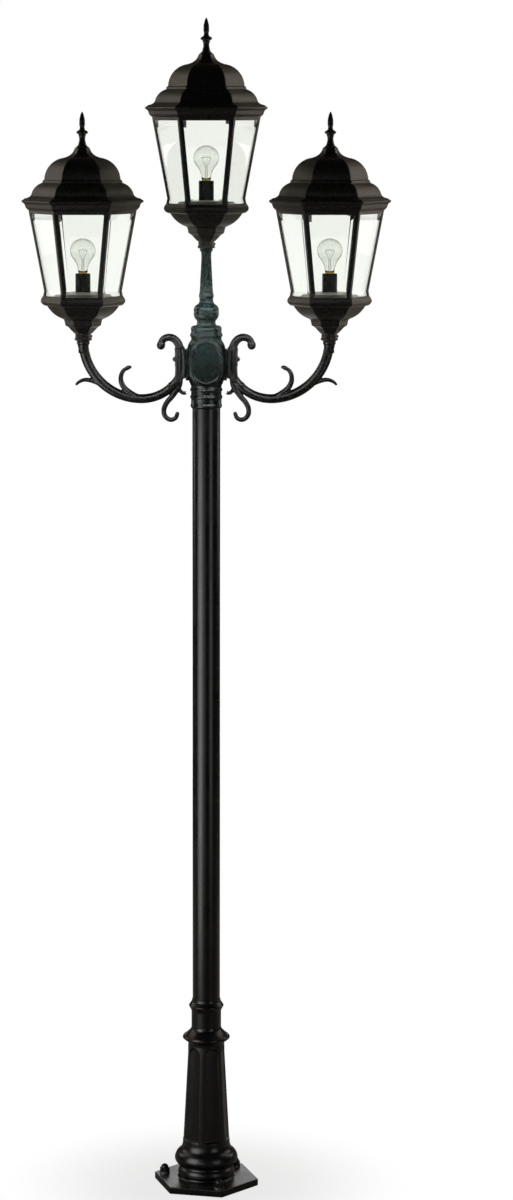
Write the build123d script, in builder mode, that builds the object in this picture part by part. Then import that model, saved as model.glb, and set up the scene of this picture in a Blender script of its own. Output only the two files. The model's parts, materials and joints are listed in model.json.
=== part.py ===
"""Triple head lamp post: a bolted base, a round pole, a hub with two scroll arms and a stem,
and three clear-glass hexagonal lanterns.

Millimetres, +Z up. The origin is the centre of the foot, on the ground, and the arms reach
out along -X and +X. Each lantern is drawn once in a frame of its own, with its height
counted from the seat that it stands on, and is then set on its three seats.
"""
import os

from math import atan2, cos, radians, sin

from build123d import *

# ---------------------------------------------------------------- driving dimensions

# Pole and its sockets
POLE_RADIUS = 38.1
POLE_WALL = 3.2
POLE_BOTTOM = 380.0
POLE_TOP = 2240.0
SOCKET_SLACK = 0.1

# Foot
FLANGE_RADIUS = 150.0
FLANGE_THICKNESS = 19.0
FLANGE_TURN = -13.0
FLANGE_CORNER = 5.0
FLANGE_EDGE = 2.0
ANCHOR_CIRCLE = 241.3
ANCHOR_COUNT = 3
ANCHOR_BEARING = 47.0
ANCHOR_HOLE = 9.0
WASHER_RADIUS = 15.0
WASHER_HOLE = 9.2
WASHER_THICKNESS = 3.0
NUT_ACROSS_FLATS = 24.0
NUT_HEIGHT = 12.0
NUT_DOME = 10.5
NUT_BORE = 8.0
NUT_DEPTH = 17.0

# Tapering column and its panels
COLUMN_FOOT = 116.0
COLUMN_FOOT_RADIUS = 66.2
COLUMN_HEAD = 402.0
COLUMN_HEAD_RADIUS = 50.6
PANEL_COUNT = 6
PANEL_BEARING = FLANGE_TURN - 60.0
PANEL_SPREAD = 24.0
PANEL_FOOT = 130.0
PANEL_SPRING = 376.0
PANEL_HALF_FOOT = 26.0
PANEL_HALF_TOP = 20.6
PANEL_HOLLOW = 300.0
PANEL_DEPTH = 2.6
PANEL_REACH = 100.0

# Set screws: radius, height on the post, radius of the casting there
SET_SCREW_BEARING = 30.0
SET_SCREW_DRILL = 60.0
SET_SCREW_PROUD = 1.0
BASE_SCREW = 4.0
BASE_SCREW_HEIGHT = 474.0
BASE_NECK = 41.4
HUB_SCREW = 3.5
HUB_SCREW_HEIGHT = 2211.0
HUB_NECK = 41.6
SET_SCREW_COUNT = 3
SCREW_SLACK = 0.05

# Arms
REACH = 335.0
SIDE_SEAT = 2375.0
ARM_SWING = 159.0
ARM_RETURN = 118.0
ARM_RETURN_TURN = 58.0
ARM_ENTRY = 28.0
ARM_TUBE = 11.5
ARM_BORE = 5.5
SEAT_FLARE = 15.0
SCROLL_BALL = 12.8
TIP_SWELL = 1.06
BOSS_BACK = 56.0
BOSS_FACE = 86.0
BOSS_LOW = 2269.0
BOSS_HIGH = 2350.0
BOSS_HALF_WIDTH = 17.0
BOSS_ROUND = 7.0
BOSS_EDGE = 4.0
BOSS_CLEARANCE = 2.0
BOSS_GROOVE = 3.2
BOSS_GROOVE_OUT = 18.5
BOSS_GROOVES = (64.0, 75.0)
BOSS_NUB = 6.5
BOSS_NUB_HEIGHT = 2324.0
LEAD_TAIL = 10.0
LEAD_ENTRY = SIDE_SEAT - ARM_SWING + (ARM_RETURN + ARM_ENTRY) * (1 - cos(radians(ARM_RETURN_TURN)))
UPPER_SCROLL = [
    (72.0, 2325.0), (71.0, 2349.0), (76.5, 2366.0), (86.0, 2378.0), (98.9, 2383.3),
    (112.0, 2381.0), (120.7, 2373.0), (123.5, 2362.5),
]
INNER_TENDRIL = [
    (187.0, 2220.0), (207.0, 2231.0), (223.5, 2245.5), (232.0, 2262.0), (232.4, 2278.3),
    (226.5, 2292.0), (214.7, 2300.5),
]
OUTER_LEAF = [
    (268.0, 2243.0), (295.0, 2259.2), (316.9, 2266.5), (333.3, 2267.4), (346.9, 2262.0), (354.0, 2255.5),
]
HOOK = [(70.0, 2268.0), (74.5, 2250.0), (70.3, 2236.5), (60.8, 2231.0), (50.5, 2235.0)]
LOWER_TENDRIL = [
    (74.0, 2253.0), (82.5, 2237.4), (94.5, 2221.0), (107.0, 2206.5), (115.0, 2190.0), (115.0, 2174.0),
    (107.0, 2162.4), (95.0, 2158.3), (83.6, 2163.8), (79.0, 2174.7),
]
BOLT_HEIGHTS = (2311.0, 2337.0)
BOLT_RADIUS = 4.0
BOLT_HEAD_RADIUS = 6.5
BOLT_HEAD = 8.0
BOLT_END = 46.0
BOLT_SLACK = 0.4

# Seats: what the lantern's collar turns on
SEAT_RADIUS = 17.5
SEAT_HEIGHT = 8.0
SPIGOT_RADIUS = 16.0
SPIGOT_HEIGHT = 18.0
SEAT_BORE = 6.5

# Hub and stem
HUB_BOTTOM = 2190.0
HUB_TOP = 2415.0
HUB_CAVITY = 39.0
HUB_CEILING = 2384.0
HUB_STOP = 6.0
MEDALLION_WIDTH = 92.0
MEDALLION_HEIGHT = 127.0
MEDALLION_CENTRE = 2316.0
MEDALLION_FACE = 60.0
MEDALLION_RIM = 3.5
PANEL_WIDTH = 62.0
PANEL_HEIGHT = 104.0
TOP_SEAT = 2625.0
STEM_BORE = 6.5
STEM_FLUTES = 10
STEM_FLUTE = 2.4
FLUTE_LOW = (18.6, 0.0, 2512.0)
FLUTE_HIGH = (14.3, 0.0, 2598.0)
NIPPLE_RADIUS = 5.0
NIPPLE_BORE = 3.4
STEM_THREAD = 40.0

# Leads
LEAD_RADIUS = 2.6
LEAD_BEND = 18.0
LEAD_RISE = 12.0
SPLICE_BOTTOM = 2352.0
SPLICE_HALF = 19.0
SPLICE_CORNER = 4.0
LEAD_TOP = 148.0

# Lantern
FLAT = cos(radians(30.0))
CROSSING = 400.0
WALL = 3.0
CAGE_FOOT_RADIUS = 106.0
CAGE_FOOT = 134.5
CAGE_TOP_RADIUS = 147.0
CAGE_TOP = 353.0
WINDOW_FOOT = 121.0
WINDOW_TOP = 344.0
BAR_FLANGE = 10.0
LEDGE = 119.0
LEDGE_RADIUS = 92.0
RING_RADIUS = 131.0
STRAP_LEDGE = 349.0
STRAP_LEDGE_RADIUS = 139.0
GLASS = 3.0
GLASS_GAP = 0.15
GLASS_BEVEL = 15.0
GLASS_BEVEL_DEPTH = 1.0
GLASS_MARGIN = 2.5
BODY_GAP = 0.2
ROD_RADIUS = 3.0
ROD_TOP = 545.0
ROD_SLACK = 0.06
ROOF_HOLE = 3.4
FINIAL_FOOT = 520.0
STRAP_WIDTH = 12.0
STRAP_SHEET = 2.5
STRAP_NUT = 5.0
STRAP_END_GAP = 1.0
ROD_END = 2.0
CLIP_OFFSET = -53.0
CLIP_WIDTH = 10.0
CLIP_FOOT = 325.0
CLIP_SHEET = 1.2
CLIP_GAP = 0.1
CLIP_REST = 2.0
SPIGOT_SLACK = 0.05
SPIGOT_END_GAP = 0.5
SHELF_TOP = 26.0
FITTER_HEIGHT = 11.5
FITTER_SCREW = 2.5
FITTER_SHANK = 6.0
FITTER_DRILL = 40.0
FITTER_HEAD = 3.4
FITTER_HEAD_SEAT = 22.0
FITTER_HEAD_HEIGHT = 2.8
FITTER_GAP = 0.15
LOCK_NUT = 5.0
LOCK_NUT_RADIUS = 9.0
NIPPLE_TOP = 128.0
PAN_RADIUS = 82.0
PAN_TOP = 121.0
PAN_LIP = 1.5
SOCKET_RADIUS = 20.5
SOCKET_FOOT_RADIUS = 18.5
SOCKET_WAIST = 144.0
SOCKET_WELL = 150.0
SOCKET_WELL_RADIUS = 9.0
SOCKET_TOP = 182.0
LAMP_BASE = 13.1
LAMP_BASE_SLACK = 0.1
BULB_RADIUS = 33.5
BULB_CENTRE = 243.5
BULB_WALL = 0.9
BULB_FOOT = 186.0
LAMP_TIP = 152.0
LAMP_SHELL = 158.0
LAMP_PITCH = 3.6
LAMP_THREADS = 7
LAMP_THREAD = 0.6
MOUNT_HEAD = 214.0
FILAMENT_HALF = 12.0
FILAMENT_HEIGHT = 243.0
FILAMENT_RISE = 5.0
FILAMENT_WIRE = 0.5
SEATS = {"left": (-REACH, SIDE_SEAT), "centre": (0.0, TOP_SEAT), "right": (REACH, SIDE_SEAT)}

# ---------------------------------------------------------------- outlines
# Each is (radius, height) from the bottom up; a third number bows out the run that ends there.

BASE_OUTLINE = [
    (86.0, 10.0), (86.0, 19.0), (77.0, 25.0, -2.5), (72.0, 50.0, 4.5), (71.0, 54.0), (80.0, 58.0),
    (88.6, 75.0, 2.5), (79.0, 95.0, 1.8), (70.0, 104.5, -1.0), (66.8, 113.0, -0.3),
    (COLUMN_FOOT_RADIUS, COLUMN_FOOT), (COLUMN_HEAD_RADIUS, COLUMN_HEAD), (51.0, 407.0),
    (61.0, 416.5, -1.5), (64.8, 420.0), (64.8, 426.0, 1.2), (64.0, 428.0), (45.0, 444.0, -1.0),
    (41.4, 454.0, -0.8), (41.4, 497.0), (44.0, 504.5, -0.6), (47.5, 511.5), (47.5, 516.0, 1.0),
    (43.0, 523.0), (40.4, 526.0), (39.8, 533.0),
]
BASE_CORE = [
    (62.0, -1.0), (62.0, 18.0), (56.0, 30.0), (56.0, 90.0), (36.0, 340.0), (33.0, POLE_BOTTOM + 1.0),
]
HUB_OUTLINE = [
    (39.8, HUB_BOTTOM), (41.6, 2193.0), (42.8, 2200.0, 0.8), (41.6, 2204.0), (41.6, 2213.0),
    (42.4, 2216.5), (42.4, 2225.5, 2.0), (41.6, 2228.0), (41.6, 2235.0), (42.4, 2237.0),
    (42.4, 2245.5, 2.0), (41.6, 2248.0), (42.2, 2253.0), (51.0, 2290.0, 2.6), (51.0, 2342.0, 1.5),
    (43.0, 2374.0, 4.0), (41.4, 2377.0), (41.4, 2383.0), (42.6, 2385.5), (42.6, 2394.0, 1.8),
    (41.4, 2396.5), (41.4, 2403.0), (42.0, 2405.0), (36.0, HUB_TOP, 2.0),
]
STEM_OUTLINE = [
    (31.4, HUB_TOP), (25.5, 2421.0, -1.5), (24.9, 2426.0), (26.0, 2430.0), (33.6, 2453.0, 3.5),
    (26.0, 2472.0, 3.5), (18.6, 2484.0, -2.0), (18.6, 2490.0), (19.0, 2502.0, 1.4), (18.4, 2505.0),
    (13.3, 2606.0), (14.0, 2611.0), (SEAT_RADIUS, 2618.0, -1.5), (SEAT_RADIUS, TOP_SEAT),
    (SPIGOT_RADIUS, TOP_SEAT), (SPIGOT_RADIUS, TOP_SEAT + SPIGOT_HEIGHT),
]
ROOF_OUTLINE = [
    (148.5, CAGE_TOP + BODY_GAP), (152.5, 357.5), (154.5, 359.5), (157.5, 368.0), (162.0, 372.0, -0.8),
    (166.0, 376.0), (166.0, 378.5), (157.0, 384.5, -0.5), (141.0, 391.5, -1.5), (139.0, 395.0),
    (112.5, 425.0, 5.0), (108.0, 427.0), (107.0, 433.0, 1.0), (103.5, 435.0), (103.0, 442.0),
    (58.0, 492.0, 10.0), (44.0, 495.5, -0.5), (29.0, 504.5, -1.0), (20.5, FINIAL_FOOT, -1.0),
]
ROOF_HOLLOW = [
    (139.0, CAGE_TOP - 1.0), (139.0, 356.0), (148.0, 367.0), (153.0, 378.0), (136.0, 387.0),
    (106.0, 422.0, 5.0), (99.0, 433.0), (99.0, 442.0), (54.0, 487.0, 10.0), (38.0, 491.5),
    (12.0, 505.0, -3.0),
]
FINIAL_OUTLINE = [
    (18.0, FINIAL_FOOT + BODY_GAP), (18.0, 522.0), (10.0, 533.0, -2.0), (8.2, 540.0), (8.2, 548.0),
    (10.0, 552.5), (10.0, 555.5), (14.4, 558.5), (14.4, 564.0, 1.5), (10.0, 567.0), (7.2, 571.0, -1.0),
    (6.2, 575.0), (7.6, 588.0, 0.8), (6.0, 602.0, 0.8), (1.0, 617.0, 0.8),
]
CAGE_OUTLINE = [
    (98.0, 94.0), (112.5, 101.0, 2.0), (115.2, 104.5), (115.2, 110.5), (112.6, 115.5),
    (109.0, 121.0), (107.6, 127.0, -0.6), (CAGE_FOOT_RADIUS, CAGE_FOOT), (CAGE_TOP_RADIUS, CAGE_TOP),
]
CUP_OUTLINE = [
    (24.5, 19.0), (28.0, 23.0), (34.0, 29.0), (45.5, 39.0, -1.0), (49.0, 43.0, 0.6), (50.5, 50.0),
    (52.0, 56.0), (55.5, 58.5), (98.0, 94.0, 5.0),
]
CUP_HOLLOW = [(16.0, 26.0), (28.0, 30.0), (42.0, 43.0), (46.5, 58.0), (91.0, 95.0, 6.0)]
BULB_OUTLINE = [
    (12.6, BULB_FOOT), (13.4, 194.0), (27.5, 224.4, -2.5), (BULB_RADIUS, BULB_CENTRE, 1.6),
    (1.0, BULB_CENTRE + BULB_RADIUS, 9.6),
]
BULB_HOLLOW = [
    (11.7, BULB_FOOT - 1.0), (12.5, 194.2), (26.7, 224.8, -2.5),
    (BULB_RADIUS - BULB_WALL, BULB_CENTRE, 1.6), (1.0, BULB_CENTRE + BULB_RADIUS - BULB_WALL, 9.4),
]
COLLAR_OUTLINE = [
    (23.0, BODY_GAP), (23.0, 6.0, 0.8), (21.8, 8.0), (21.8, 15.0), (24.0, 24.0, -0.8),
]


# ---------------------------------------------------------------- helpers

def trace(outline):
    """Join the points by lines, and by arcs where a run is bowed."""
    here = outline[0]
    for there in outline[1:]:
        if len(there) == 3:
            SagittaArc(here[:2], there[:2], -there[2])
        else:
            Line(here[:2], there)
        here = there


def turned(outline):
    """A round solid: the outline, closed on the axis and turned about Z."""
    bottom = (0.0, outline[0][1])
    top = (0.0, outline[-1][1])
    with BuildPart() as blank:
        with BuildSketch(Plane.XZ):
            with BuildLine():
                trace([bottom, *outline, top, bottom])
            make_face()
        revolve(axis=Axis.Z)
    return blank.part


def six_sided(outline):
    """A hexagon in plan at every height, corners out at the outline's radius.

    The same outline is pushed across the lantern in three directions, and what the three
    have in common is the mitred hexagon.
    """
    narrowed = [(point[0] * FLAT, *point[1:]) for point in outline]
    bottom = (0.0, outline[0][1])
    top = (0.0, outline[-1][1])
    with BuildPart() as blank:
        for face in range(3):
            out = Vector(1, 0, 0).rotate(Axis.Z, 30.0 + 60.0 * face)
            across = Plane(origin=(0, 0, 0), x_dir=out, z_dir=out.cross(Vector(0, 0, 1)))
            with BuildSketch(across):
                with BuildLine():
                    trace([bottom, *narrowed, top])
                    mirror(about=Plane.YZ)
                make_face()
            extrude(amount=CROSSING, both=True, mode=Mode.INTERSECT if face else Mode.ADD)
    return blank.part


def tendril(points, root, tip, steps=6):
    """A round branch that tapers along a smooth line through points in the X-Z plane."""
    with BuildPart() as limb:
        with BuildLine(Plane.XZ) as spine:
            Spline(*points)
        for step in range(steps + 1):
            share = step / steps
            with BuildSketch(Plane(origin=spine.line @ share, z_dir=spine.line % share)):
                Circle(root + (tip - root) * share)
        loft()
        with Locations(spine.line @ 1):
            Sphere(tip * TIP_SWELL)
    return limb.part


def keep(piece, name):
    """Label a finished piece and write it out."""
    piece.label = name
    export_step(piece, f"parts/{name}.step")


def keep_per_seat(piece, name):
    """Write a lantern piece out on each of the three seats."""
    for side, (across, up) in SEATS.items():
        keep(piece.moved(Location((across, 0, up))), f"{name}_{side}")


os.makedirs("parts", exist_ok=True)

# ---------------------------------------------------------------- foot

base_blank = turned(BASE_OUTLINE)
base_core = turned(BASE_CORE)

# One hollow panel of the column, standing out along +X: an arched window that meets a wide
# cylinder, which leans in with the column's taper.
flat_share = cos(radians(PANEL_SPREAD))
column_slope = flat_share * (COLUMN_FOOT_RADIUS - COLUMN_HEAD_RADIUS) / (COLUMN_HEAD - COLUMN_FOOT)
panel_axis_out = COLUMN_FOOT_RADIUS * flat_share - PANEL_DEPTH + PANEL_HOLLOW
with BuildPart() as column_panel:
    with BuildSketch(Plane.YZ):
        with BuildLine():
            foot = Line((-PANEL_HALF_FOOT, PANEL_FOOT), (PANEL_HALF_FOOT, PANEL_FOOT))
            edge = Line(foot @ 1, (PANEL_HALF_TOP, PANEL_SPRING))
            arch = ThreePointArc(
                edge @ 1, (0, PANEL_SPRING + PANEL_HALF_TOP), (-PANEL_HALF_TOP, PANEL_SPRING)
            )
            Line(arch @ 1, foot @ 0)
        make_face()
    extrude(amount=PANEL_REACH)
    with BuildSketch(Plane(origin=(panel_axis_out, 0, COLUMN_FOOT), z_dir=(-column_slope, 0, 1))):
        Circle(PANEL_HOLLOW)
    extrude(amount=PANEL_SPRING, mode=Mode.INTERSECT)

with BuildPart() as base_casting:
    with BuildSketch():
        RegularPolygon(radius=FLANGE_RADIUS, side_count=6, rotation=FLANGE_TURN)
    extrude(amount=FLANGE_THICKNESS)
    fillet(base_casting.edges().filter_by(Axis.Z), FLANGE_CORNER)
    fillet(base_casting.faces().sort_by(Axis.Z)[-1].edges(), FLANGE_EDGE)
    add(base_blank, rotation=(0, 0, PANEL_BEARING + 30.0))
    with PolarLocations(0, PANEL_COUNT, start_angle=PANEL_BEARING):
        add(column_panel.part, mode=Mode.SUBTRACT)
    add(base_core, mode=Mode.SUBTRACT)
    with BuildSketch(Plane.XY.offset(POLE_BOTTOM)):
        Circle(POLE_RADIUS + SOCKET_SLACK)
    extrude(amount=POLE_TOP - POLE_BOTTOM, mode=Mode.SUBTRACT)
    with BuildSketch():
        with PolarLocations(ANCHOR_CIRCLE / 2, ANCHOR_COUNT, start_angle=ANCHOR_BEARING):
            Circle(ANCHOR_HOLE)
    extrude(amount=FLANGE_THICKNESS, mode=Mode.SUBTRACT)
    with PolarLocations(0, SET_SCREW_COUNT, start_angle=SET_SCREW_BEARING):
        with Locations(Location((0, 0, BASE_SCREW_HEIGHT), (0, 90, 0))):
            Cylinder(
                BASE_SCREW + SCREW_SLACK, SET_SCREW_DRILL,
                align=(Align.CENTER, Align.CENTER, Align.MIN), mode=Mode.SUBTRACT,
            )
keep(base_casting.part, "base_casting")

with BuildPart() as anchor_washers:
    with BuildSketch(Plane.XY.offset(FLANGE_THICKNESS)):
        with PolarLocations(ANCHOR_CIRCLE / 2, ANCHOR_COUNT, start_angle=ANCHOR_BEARING):
            Circle(WASHER_RADIUS)
            Circle(WASHER_HOLE, mode=Mode.SUBTRACT)
    extrude(amount=WASHER_THICKNESS)
keep(anchor_washers.part, "anchor_washers")

nut_foot = FLANGE_THICKNESS + WASHER_THICKNESS
with BuildPart() as anchor_nuts:
    with BuildSketch(Plane.XY.offset(nut_foot)):
        with PolarLocations(ANCHOR_CIRCLE / 2, ANCHOR_COUNT, start_angle=ANCHOR_BEARING):
            RegularPolygon(radius=NUT_ACROSS_FLATS / 2, side_count=6, major_radius=False)
    extrude(amount=NUT_HEIGHT)
    with PolarLocations(ANCHOR_CIRCLE / 2, ANCHOR_COUNT, start_angle=ANCHOR_BEARING):
        with Locations((0, 0, nut_foot + NUT_HEIGHT)):
            Sphere(NUT_DOME)
    with BuildSketch(Plane.XY.offset(nut_foot)):
        with PolarLocations(ANCHOR_CIRCLE / 2, ANCHOR_COUNT, start_angle=ANCHOR_BEARING):
            Circle(NUT_BORE)
    extrude(amount=NUT_DEPTH, mode=Mode.SUBTRACT)
keep(anchor_nuts.part, "anchor_nuts")


def grub_screws(radius, height, outer):
    """Three socket set screws that reach from the casting's skin to the pole."""
    length = outer - POLE_RADIUS - SOCKET_SLACK
    with BuildPart() as screws:
        with PolarLocations(0, SET_SCREW_COUNT, start_angle=SET_SCREW_BEARING):
            with Locations(Location((outer, 0, height), (0, -90, 0))):
                Cylinder(radius, length, align=(Align.CENTER, Align.CENTER, Align.MIN))
                with Locations((0, 0, 0)):
                    Cylinder(
                        radius / 2, length / 2,
                        align=(Align.CENTER, Align.CENTER, Align.MIN), mode=Mode.SUBTRACT,
                    )
    return screws.part


keep(grub_screws(BASE_SCREW, BASE_SCREW_HEIGHT, BASE_NECK + SET_SCREW_PROUD), "base_set_screws")

# ---------------------------------------------------------------- pole

with BuildPart() as pole:
    with BuildSketch(Plane.XY.offset(POLE_BOTTOM)):
        Circle(POLE_RADIUS)
        Circle(POLE_RADIUS - POLE_WALL, mode=Mode.SUBTRACT)
    extrude(amount=POLE_TOP - POLE_BOTTOM)
keep(pole.part, "pole")

# ---------------------------------------------------------------- hub

hub_blank = turned(HUB_OUTLINE)
with BuildPart() as hub_casting:
    add(hub_blank)
    for facing in (1, -1):
        outward = Plane(origin=(0, 0, MEDALLION_CENTRE), x_dir=(0, 0, 1), z_dir=(0, facing, 0))
        with BuildSketch(outward):
            SlotOverall(MEDALLION_HEIGHT, MEDALLION_WIDTH)
        extrude(amount=MEDALLION_FACE)
        rim = hub_casting.faces().sort_by(Axis.Y)[-1 if facing > 0 else 0]
        fillet(rim.edges(), MEDALLION_RIM)
        with BuildSketch(outward.offset(MEDALLION_FACE)):
            SlotOverall(PANEL_HEIGHT, PANEL_WIDTH)
        extrude(amount=-MEDALLION_RIM, mode=Mode.SUBTRACT)
    with Locations((0, 0, (BOSS_LOW + BOSS_HIGH) / 2)):
        Box(
            2 * BOSS_BACK, 2 * (BOSS_HALF_WIDTH + BOSS_CLEARANCE),
            BOSS_HIGH - BOSS_LOW + 3 * BOSS_CLEARANCE,
        )
    with BuildSketch(Plane.XY.offset(HUB_BOTTOM)):
        Circle(POLE_RADIUS + SOCKET_SLACK)
    extrude(amount=POLE_TOP - HUB_BOTTOM, mode=Mode.SUBTRACT)
    with BuildSketch(Plane.XY.offset(POLE_TOP)):
        Circle(POLE_RADIUS - POLE_WALL)
    extrude(amount=HUB_STOP, mode=Mode.SUBTRACT)
    with BuildSketch(Plane.XY.offset(POLE_TOP + HUB_STOP)):
        Circle(HUB_CAVITY)
    extrude(amount=HUB_CEILING - POLE_TOP - HUB_STOP, mode=Mode.SUBTRACT)
    with BuildSketch(Plane.XY.offset(HUB_CEILING)):
        Circle(NIPPLE_RADIUS + SCREW_SLACK)
    extrude(amount=HUB_TOP - HUB_CEILING, mode=Mode.SUBTRACT)
    with Locations(Location((0, 0, LEAD_ENTRY), (0, 90, 0))):
        Cylinder(ARM_BORE, 2 * BOSS_FACE, mode=Mode.SUBTRACT)
    for height in BOLT_HEIGHTS:
        with Locations(Location((0, 0, height), (0, 90, 0))):
            Cylinder(BOLT_RADIUS + SCREW_SLACK, 2 * BOSS_FACE, mode=Mode.SUBTRACT)
    with PolarLocations(0, SET_SCREW_COUNT, start_angle=SET_SCREW_BEARING):
        with Locations(Location((0, 0, HUB_SCREW_HEIGHT), (0, 90, 0))):
            Cylinder(
                HUB_SCREW + SCREW_SLACK, SET_SCREW_DRILL,
                align=(Align.CENTER, Align.CENTER, Align.MIN), mode=Mode.SUBTRACT,
            )
keep(hub_casting.part, "hub_casting")
keep(grub_screws(HUB_SCREW, HUB_SCREW_HEIGHT, HUB_NECK + SET_SCREW_PROUD), "hub_set_screws")

# ---------------------------------------------------------------- stem

stem_blank = turned(STEM_OUTLINE)
flute_low = Vector(*FLUTE_LOW)
flute_high = Vector(*FLUTE_HIGH)
with BuildPart() as stem_flute:
    with BuildSketch(Plane(origin=flute_low, z_dir=flute_high - flute_low)):
        Circle(STEM_FLUTE)
    extrude(amount=(flute_high - flute_low).length)
    with Locations(flute_low, flute_high):
        Sphere(STEM_FLUTE)

with BuildPart() as stem:
    add(stem_blank)
    with PolarLocations(0, STEM_FLUTES):
        add(stem_flute.part, mode=Mode.SUBTRACT)
    with BuildSketch(Plane.XY.offset(HUB_TOP)):
        Circle(STEM_BORE)
    extrude(amount=TOP_SEAT + SPIGOT_HEIGHT - HUB_TOP, mode=Mode.SUBTRACT)
keep(stem.part, "stem")

with BuildPart() as stem_nipple:
    with BuildSketch(Plane.XY.offset(HUB_CEILING)):
        Circle(NIPPLE_RADIUS)
    extrude(amount=HUB_TOP - HUB_CEILING)
    with BuildSketch(Plane.XY.offset(HUB_TOP)):
        Circle(STEM_BORE - SCREW_SLACK)
    extrude(amount=STEM_THREAD)
    with BuildSketch(Plane.XY.offset(HUB_CEILING)):
        Circle(NIPPLE_BORE)
    extrude(amount=HUB_TOP - HUB_CEILING + STEM_THREAD, mode=Mode.SUBTRACT)
keep(stem_nipple.part, "stem_nipple")

# ---------------------------------------------------------------- arms

upper_scroll = tendril(UPPER_SCROLL, 12.0, 9.0)
inner_tendril = tendril(INNER_TENDRIL, 9.0, 5.2)
outer_leaf = tendril(OUTER_LEAF, 8.5, 4.0)
hook = tendril(HOOK, 5.5, 4.5)
lower_tendril = tendril(LOWER_TENDRIL, 7.8, 5.8)

boss_middle = (BOSS_LOW + BOSS_HIGH) / 2
with BuildPart() as arm_right:
    with BuildSketch(Plane(origin=(BOSS_BACK, 0, boss_middle), x_dir=(0, 1, 0), z_dir=(1, 0, 0))):
        RectangleRounded(2 * BOSS_HALF_WIDTH, BOSS_HIGH - BOSS_LOW, BOSS_ROUND)
    extrude(amount=BOSS_FACE - BOSS_BACK)
    fillet(arm_right.faces().sort_by(Axis.X)[-1].edges(), BOSS_EDGE)
    with BuildLine(Plane.XZ) as arm_route:
        swing = JernArc((REACH, SIDE_SEAT), (0, -1), ARM_SWING, -90.0)
        back = JernArc(swing @ 1, swing % 1, ARM_RETURN, -ARM_RETURN_TURN)
    with BuildSketch(Plane(origin=swing @ 0, z_dir=swing % 0)):
        Circle(ARM_TUBE)
    sweep(path=arm_route.wires()[0])
    for limb in (upper_scroll, inner_tendril, outer_leaf, hook, lower_tendril):
        add(limb)
    with Locations((UPPER_SCROLL[-1][0], 0, UPPER_SCROLL[-1][1])):
        Sphere(SCROLL_BALL)
    with Locations((BOSS_FACE, 0, BOSS_NUB_HEIGHT)):
        Sphere(BOSS_NUB)
    with BuildSketch(Plane.XY.offset(SIDE_SEAT - SEAT_HEIGHT - SEAT_FLARE)):
        with Locations((REACH, 0)):
            Circle(ARM_TUBE)
    with BuildSketch(Plane.XY.offset(SIDE_SEAT - SEAT_HEIGHT)):
        with Locations((REACH, 0)):
            Circle(SEAT_RADIUS)
    loft()
    with BuildSketch(Plane.XY.offset(SIDE_SEAT - SEAT_HEIGHT)):
        with Locations((REACH, 0)):
            Circle(SEAT_RADIUS)
    extrude(amount=SEAT_HEIGHT)
    with BuildSketch(Plane.XY.offset(SIDE_SEAT)):
        with Locations((REACH, 0)):
            Circle(SPIGOT_RADIUS)
    extrude(amount=SPIGOT_HEIGHT)
    # Cast grooves of the boss's leaf, front and back
    for across in BOSS_GROOVES:
        with BuildSketch(Plane.XY.offset(BOSS_LOW)):
            with Locations((across, BOSS_GROOVE_OUT), (across, -BOSS_GROOVE_OUT)):
                Circle(BOSS_GROOVE)
        extrude(amount=BOSS_HIGH - BOSS_LOW, mode=Mode.SUBTRACT)
    # Bore for the lead
    with BuildLine(Plane.XZ) as bore_route:
        down = JernArc((REACH, SIDE_SEAT), (0, -1), ARM_SWING, -90.0)
        up = JernArc(down @ 1, down % 1, ARM_RETURN, -ARM_RETURN_TURN)
        turn = JernArc(up @ 1, up % 1, ARM_ENTRY, ARM_RETURN_TURN)
        Line(turn @ 1, (turn @ 1) - Vector(LEAD_TAIL, 0, 0))
    with BuildSketch(Plane(origin=down @ 0, z_dir=down % 0)):
        Circle(ARM_BORE)
    sweep(path=bore_route.wires()[0], mode=Mode.SUBTRACT)
    with BuildSketch(Plane.XY.offset(SIDE_SEAT - SEAT_HEIGHT)):
        with Locations((REACH, 0)):
            Circle(SEAT_BORE)
    extrude(amount=SEAT_HEIGHT + SPIGOT_HEIGHT, mode=Mode.SUBTRACT)
    for height in BOLT_HEIGHTS:
        with BuildSketch(Plane(origin=(BOSS_BACK, 0, height), z_dir=(1, 0, 0))):
            Circle(BOLT_RADIUS + BOLT_SLACK)
        extrude(amount=BOSS_FACE - BOSS_BACK + BOSS_NUB, mode=Mode.SUBTRACT)
        with BuildSketch(Plane(origin=(BOSS_FACE - BOLT_HEAD, 0, height), z_dir=(1, 0, 0))):
            Circle(BOLT_HEAD_RADIUS + BOLT_SLACK)
        extrude(amount=BOLT_HEAD + BOSS_NUB, mode=Mode.SUBTRACT)
keep(arm_right.part, "arm_right")
keep(mirror(arm_right.part, about=Plane.YZ), "arm_left")

with BuildPart() as arm_bolts_right:
    for height in BOLT_HEIGHTS:
        with BuildSketch(Plane(origin=(BOLT_END, 0, height), z_dir=(1, 0, 0))):
            Circle(BOLT_RADIUS)
        extrude(amount=BOSS_FACE - BOLT_HEAD - BOLT_END)
        with BuildSketch(Plane(origin=(BOSS_FACE - BOLT_HEAD, 0, height), z_dir=(1, 0, 0))):
            Circle(BOLT_HEAD_RADIUS)
        extrude(amount=BOLT_HEAD)
        with BuildSketch(Plane(origin=(BOSS_FACE, 0, height), z_dir=(1, 0, 0))):
            RegularPolygon(radius=BOLT_RADIUS * 0.8, side_count=6)
        extrude(amount=-BOLT_HEAD / 2, mode=Mode.SUBTRACT)
keep(arm_bolts_right.part, "arm_bolts_right")
keep(mirror(arm_bolts_right.part, about=Plane.YZ), "arm_bolts_left")

# ---------------------------------------------------------------- leads

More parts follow.
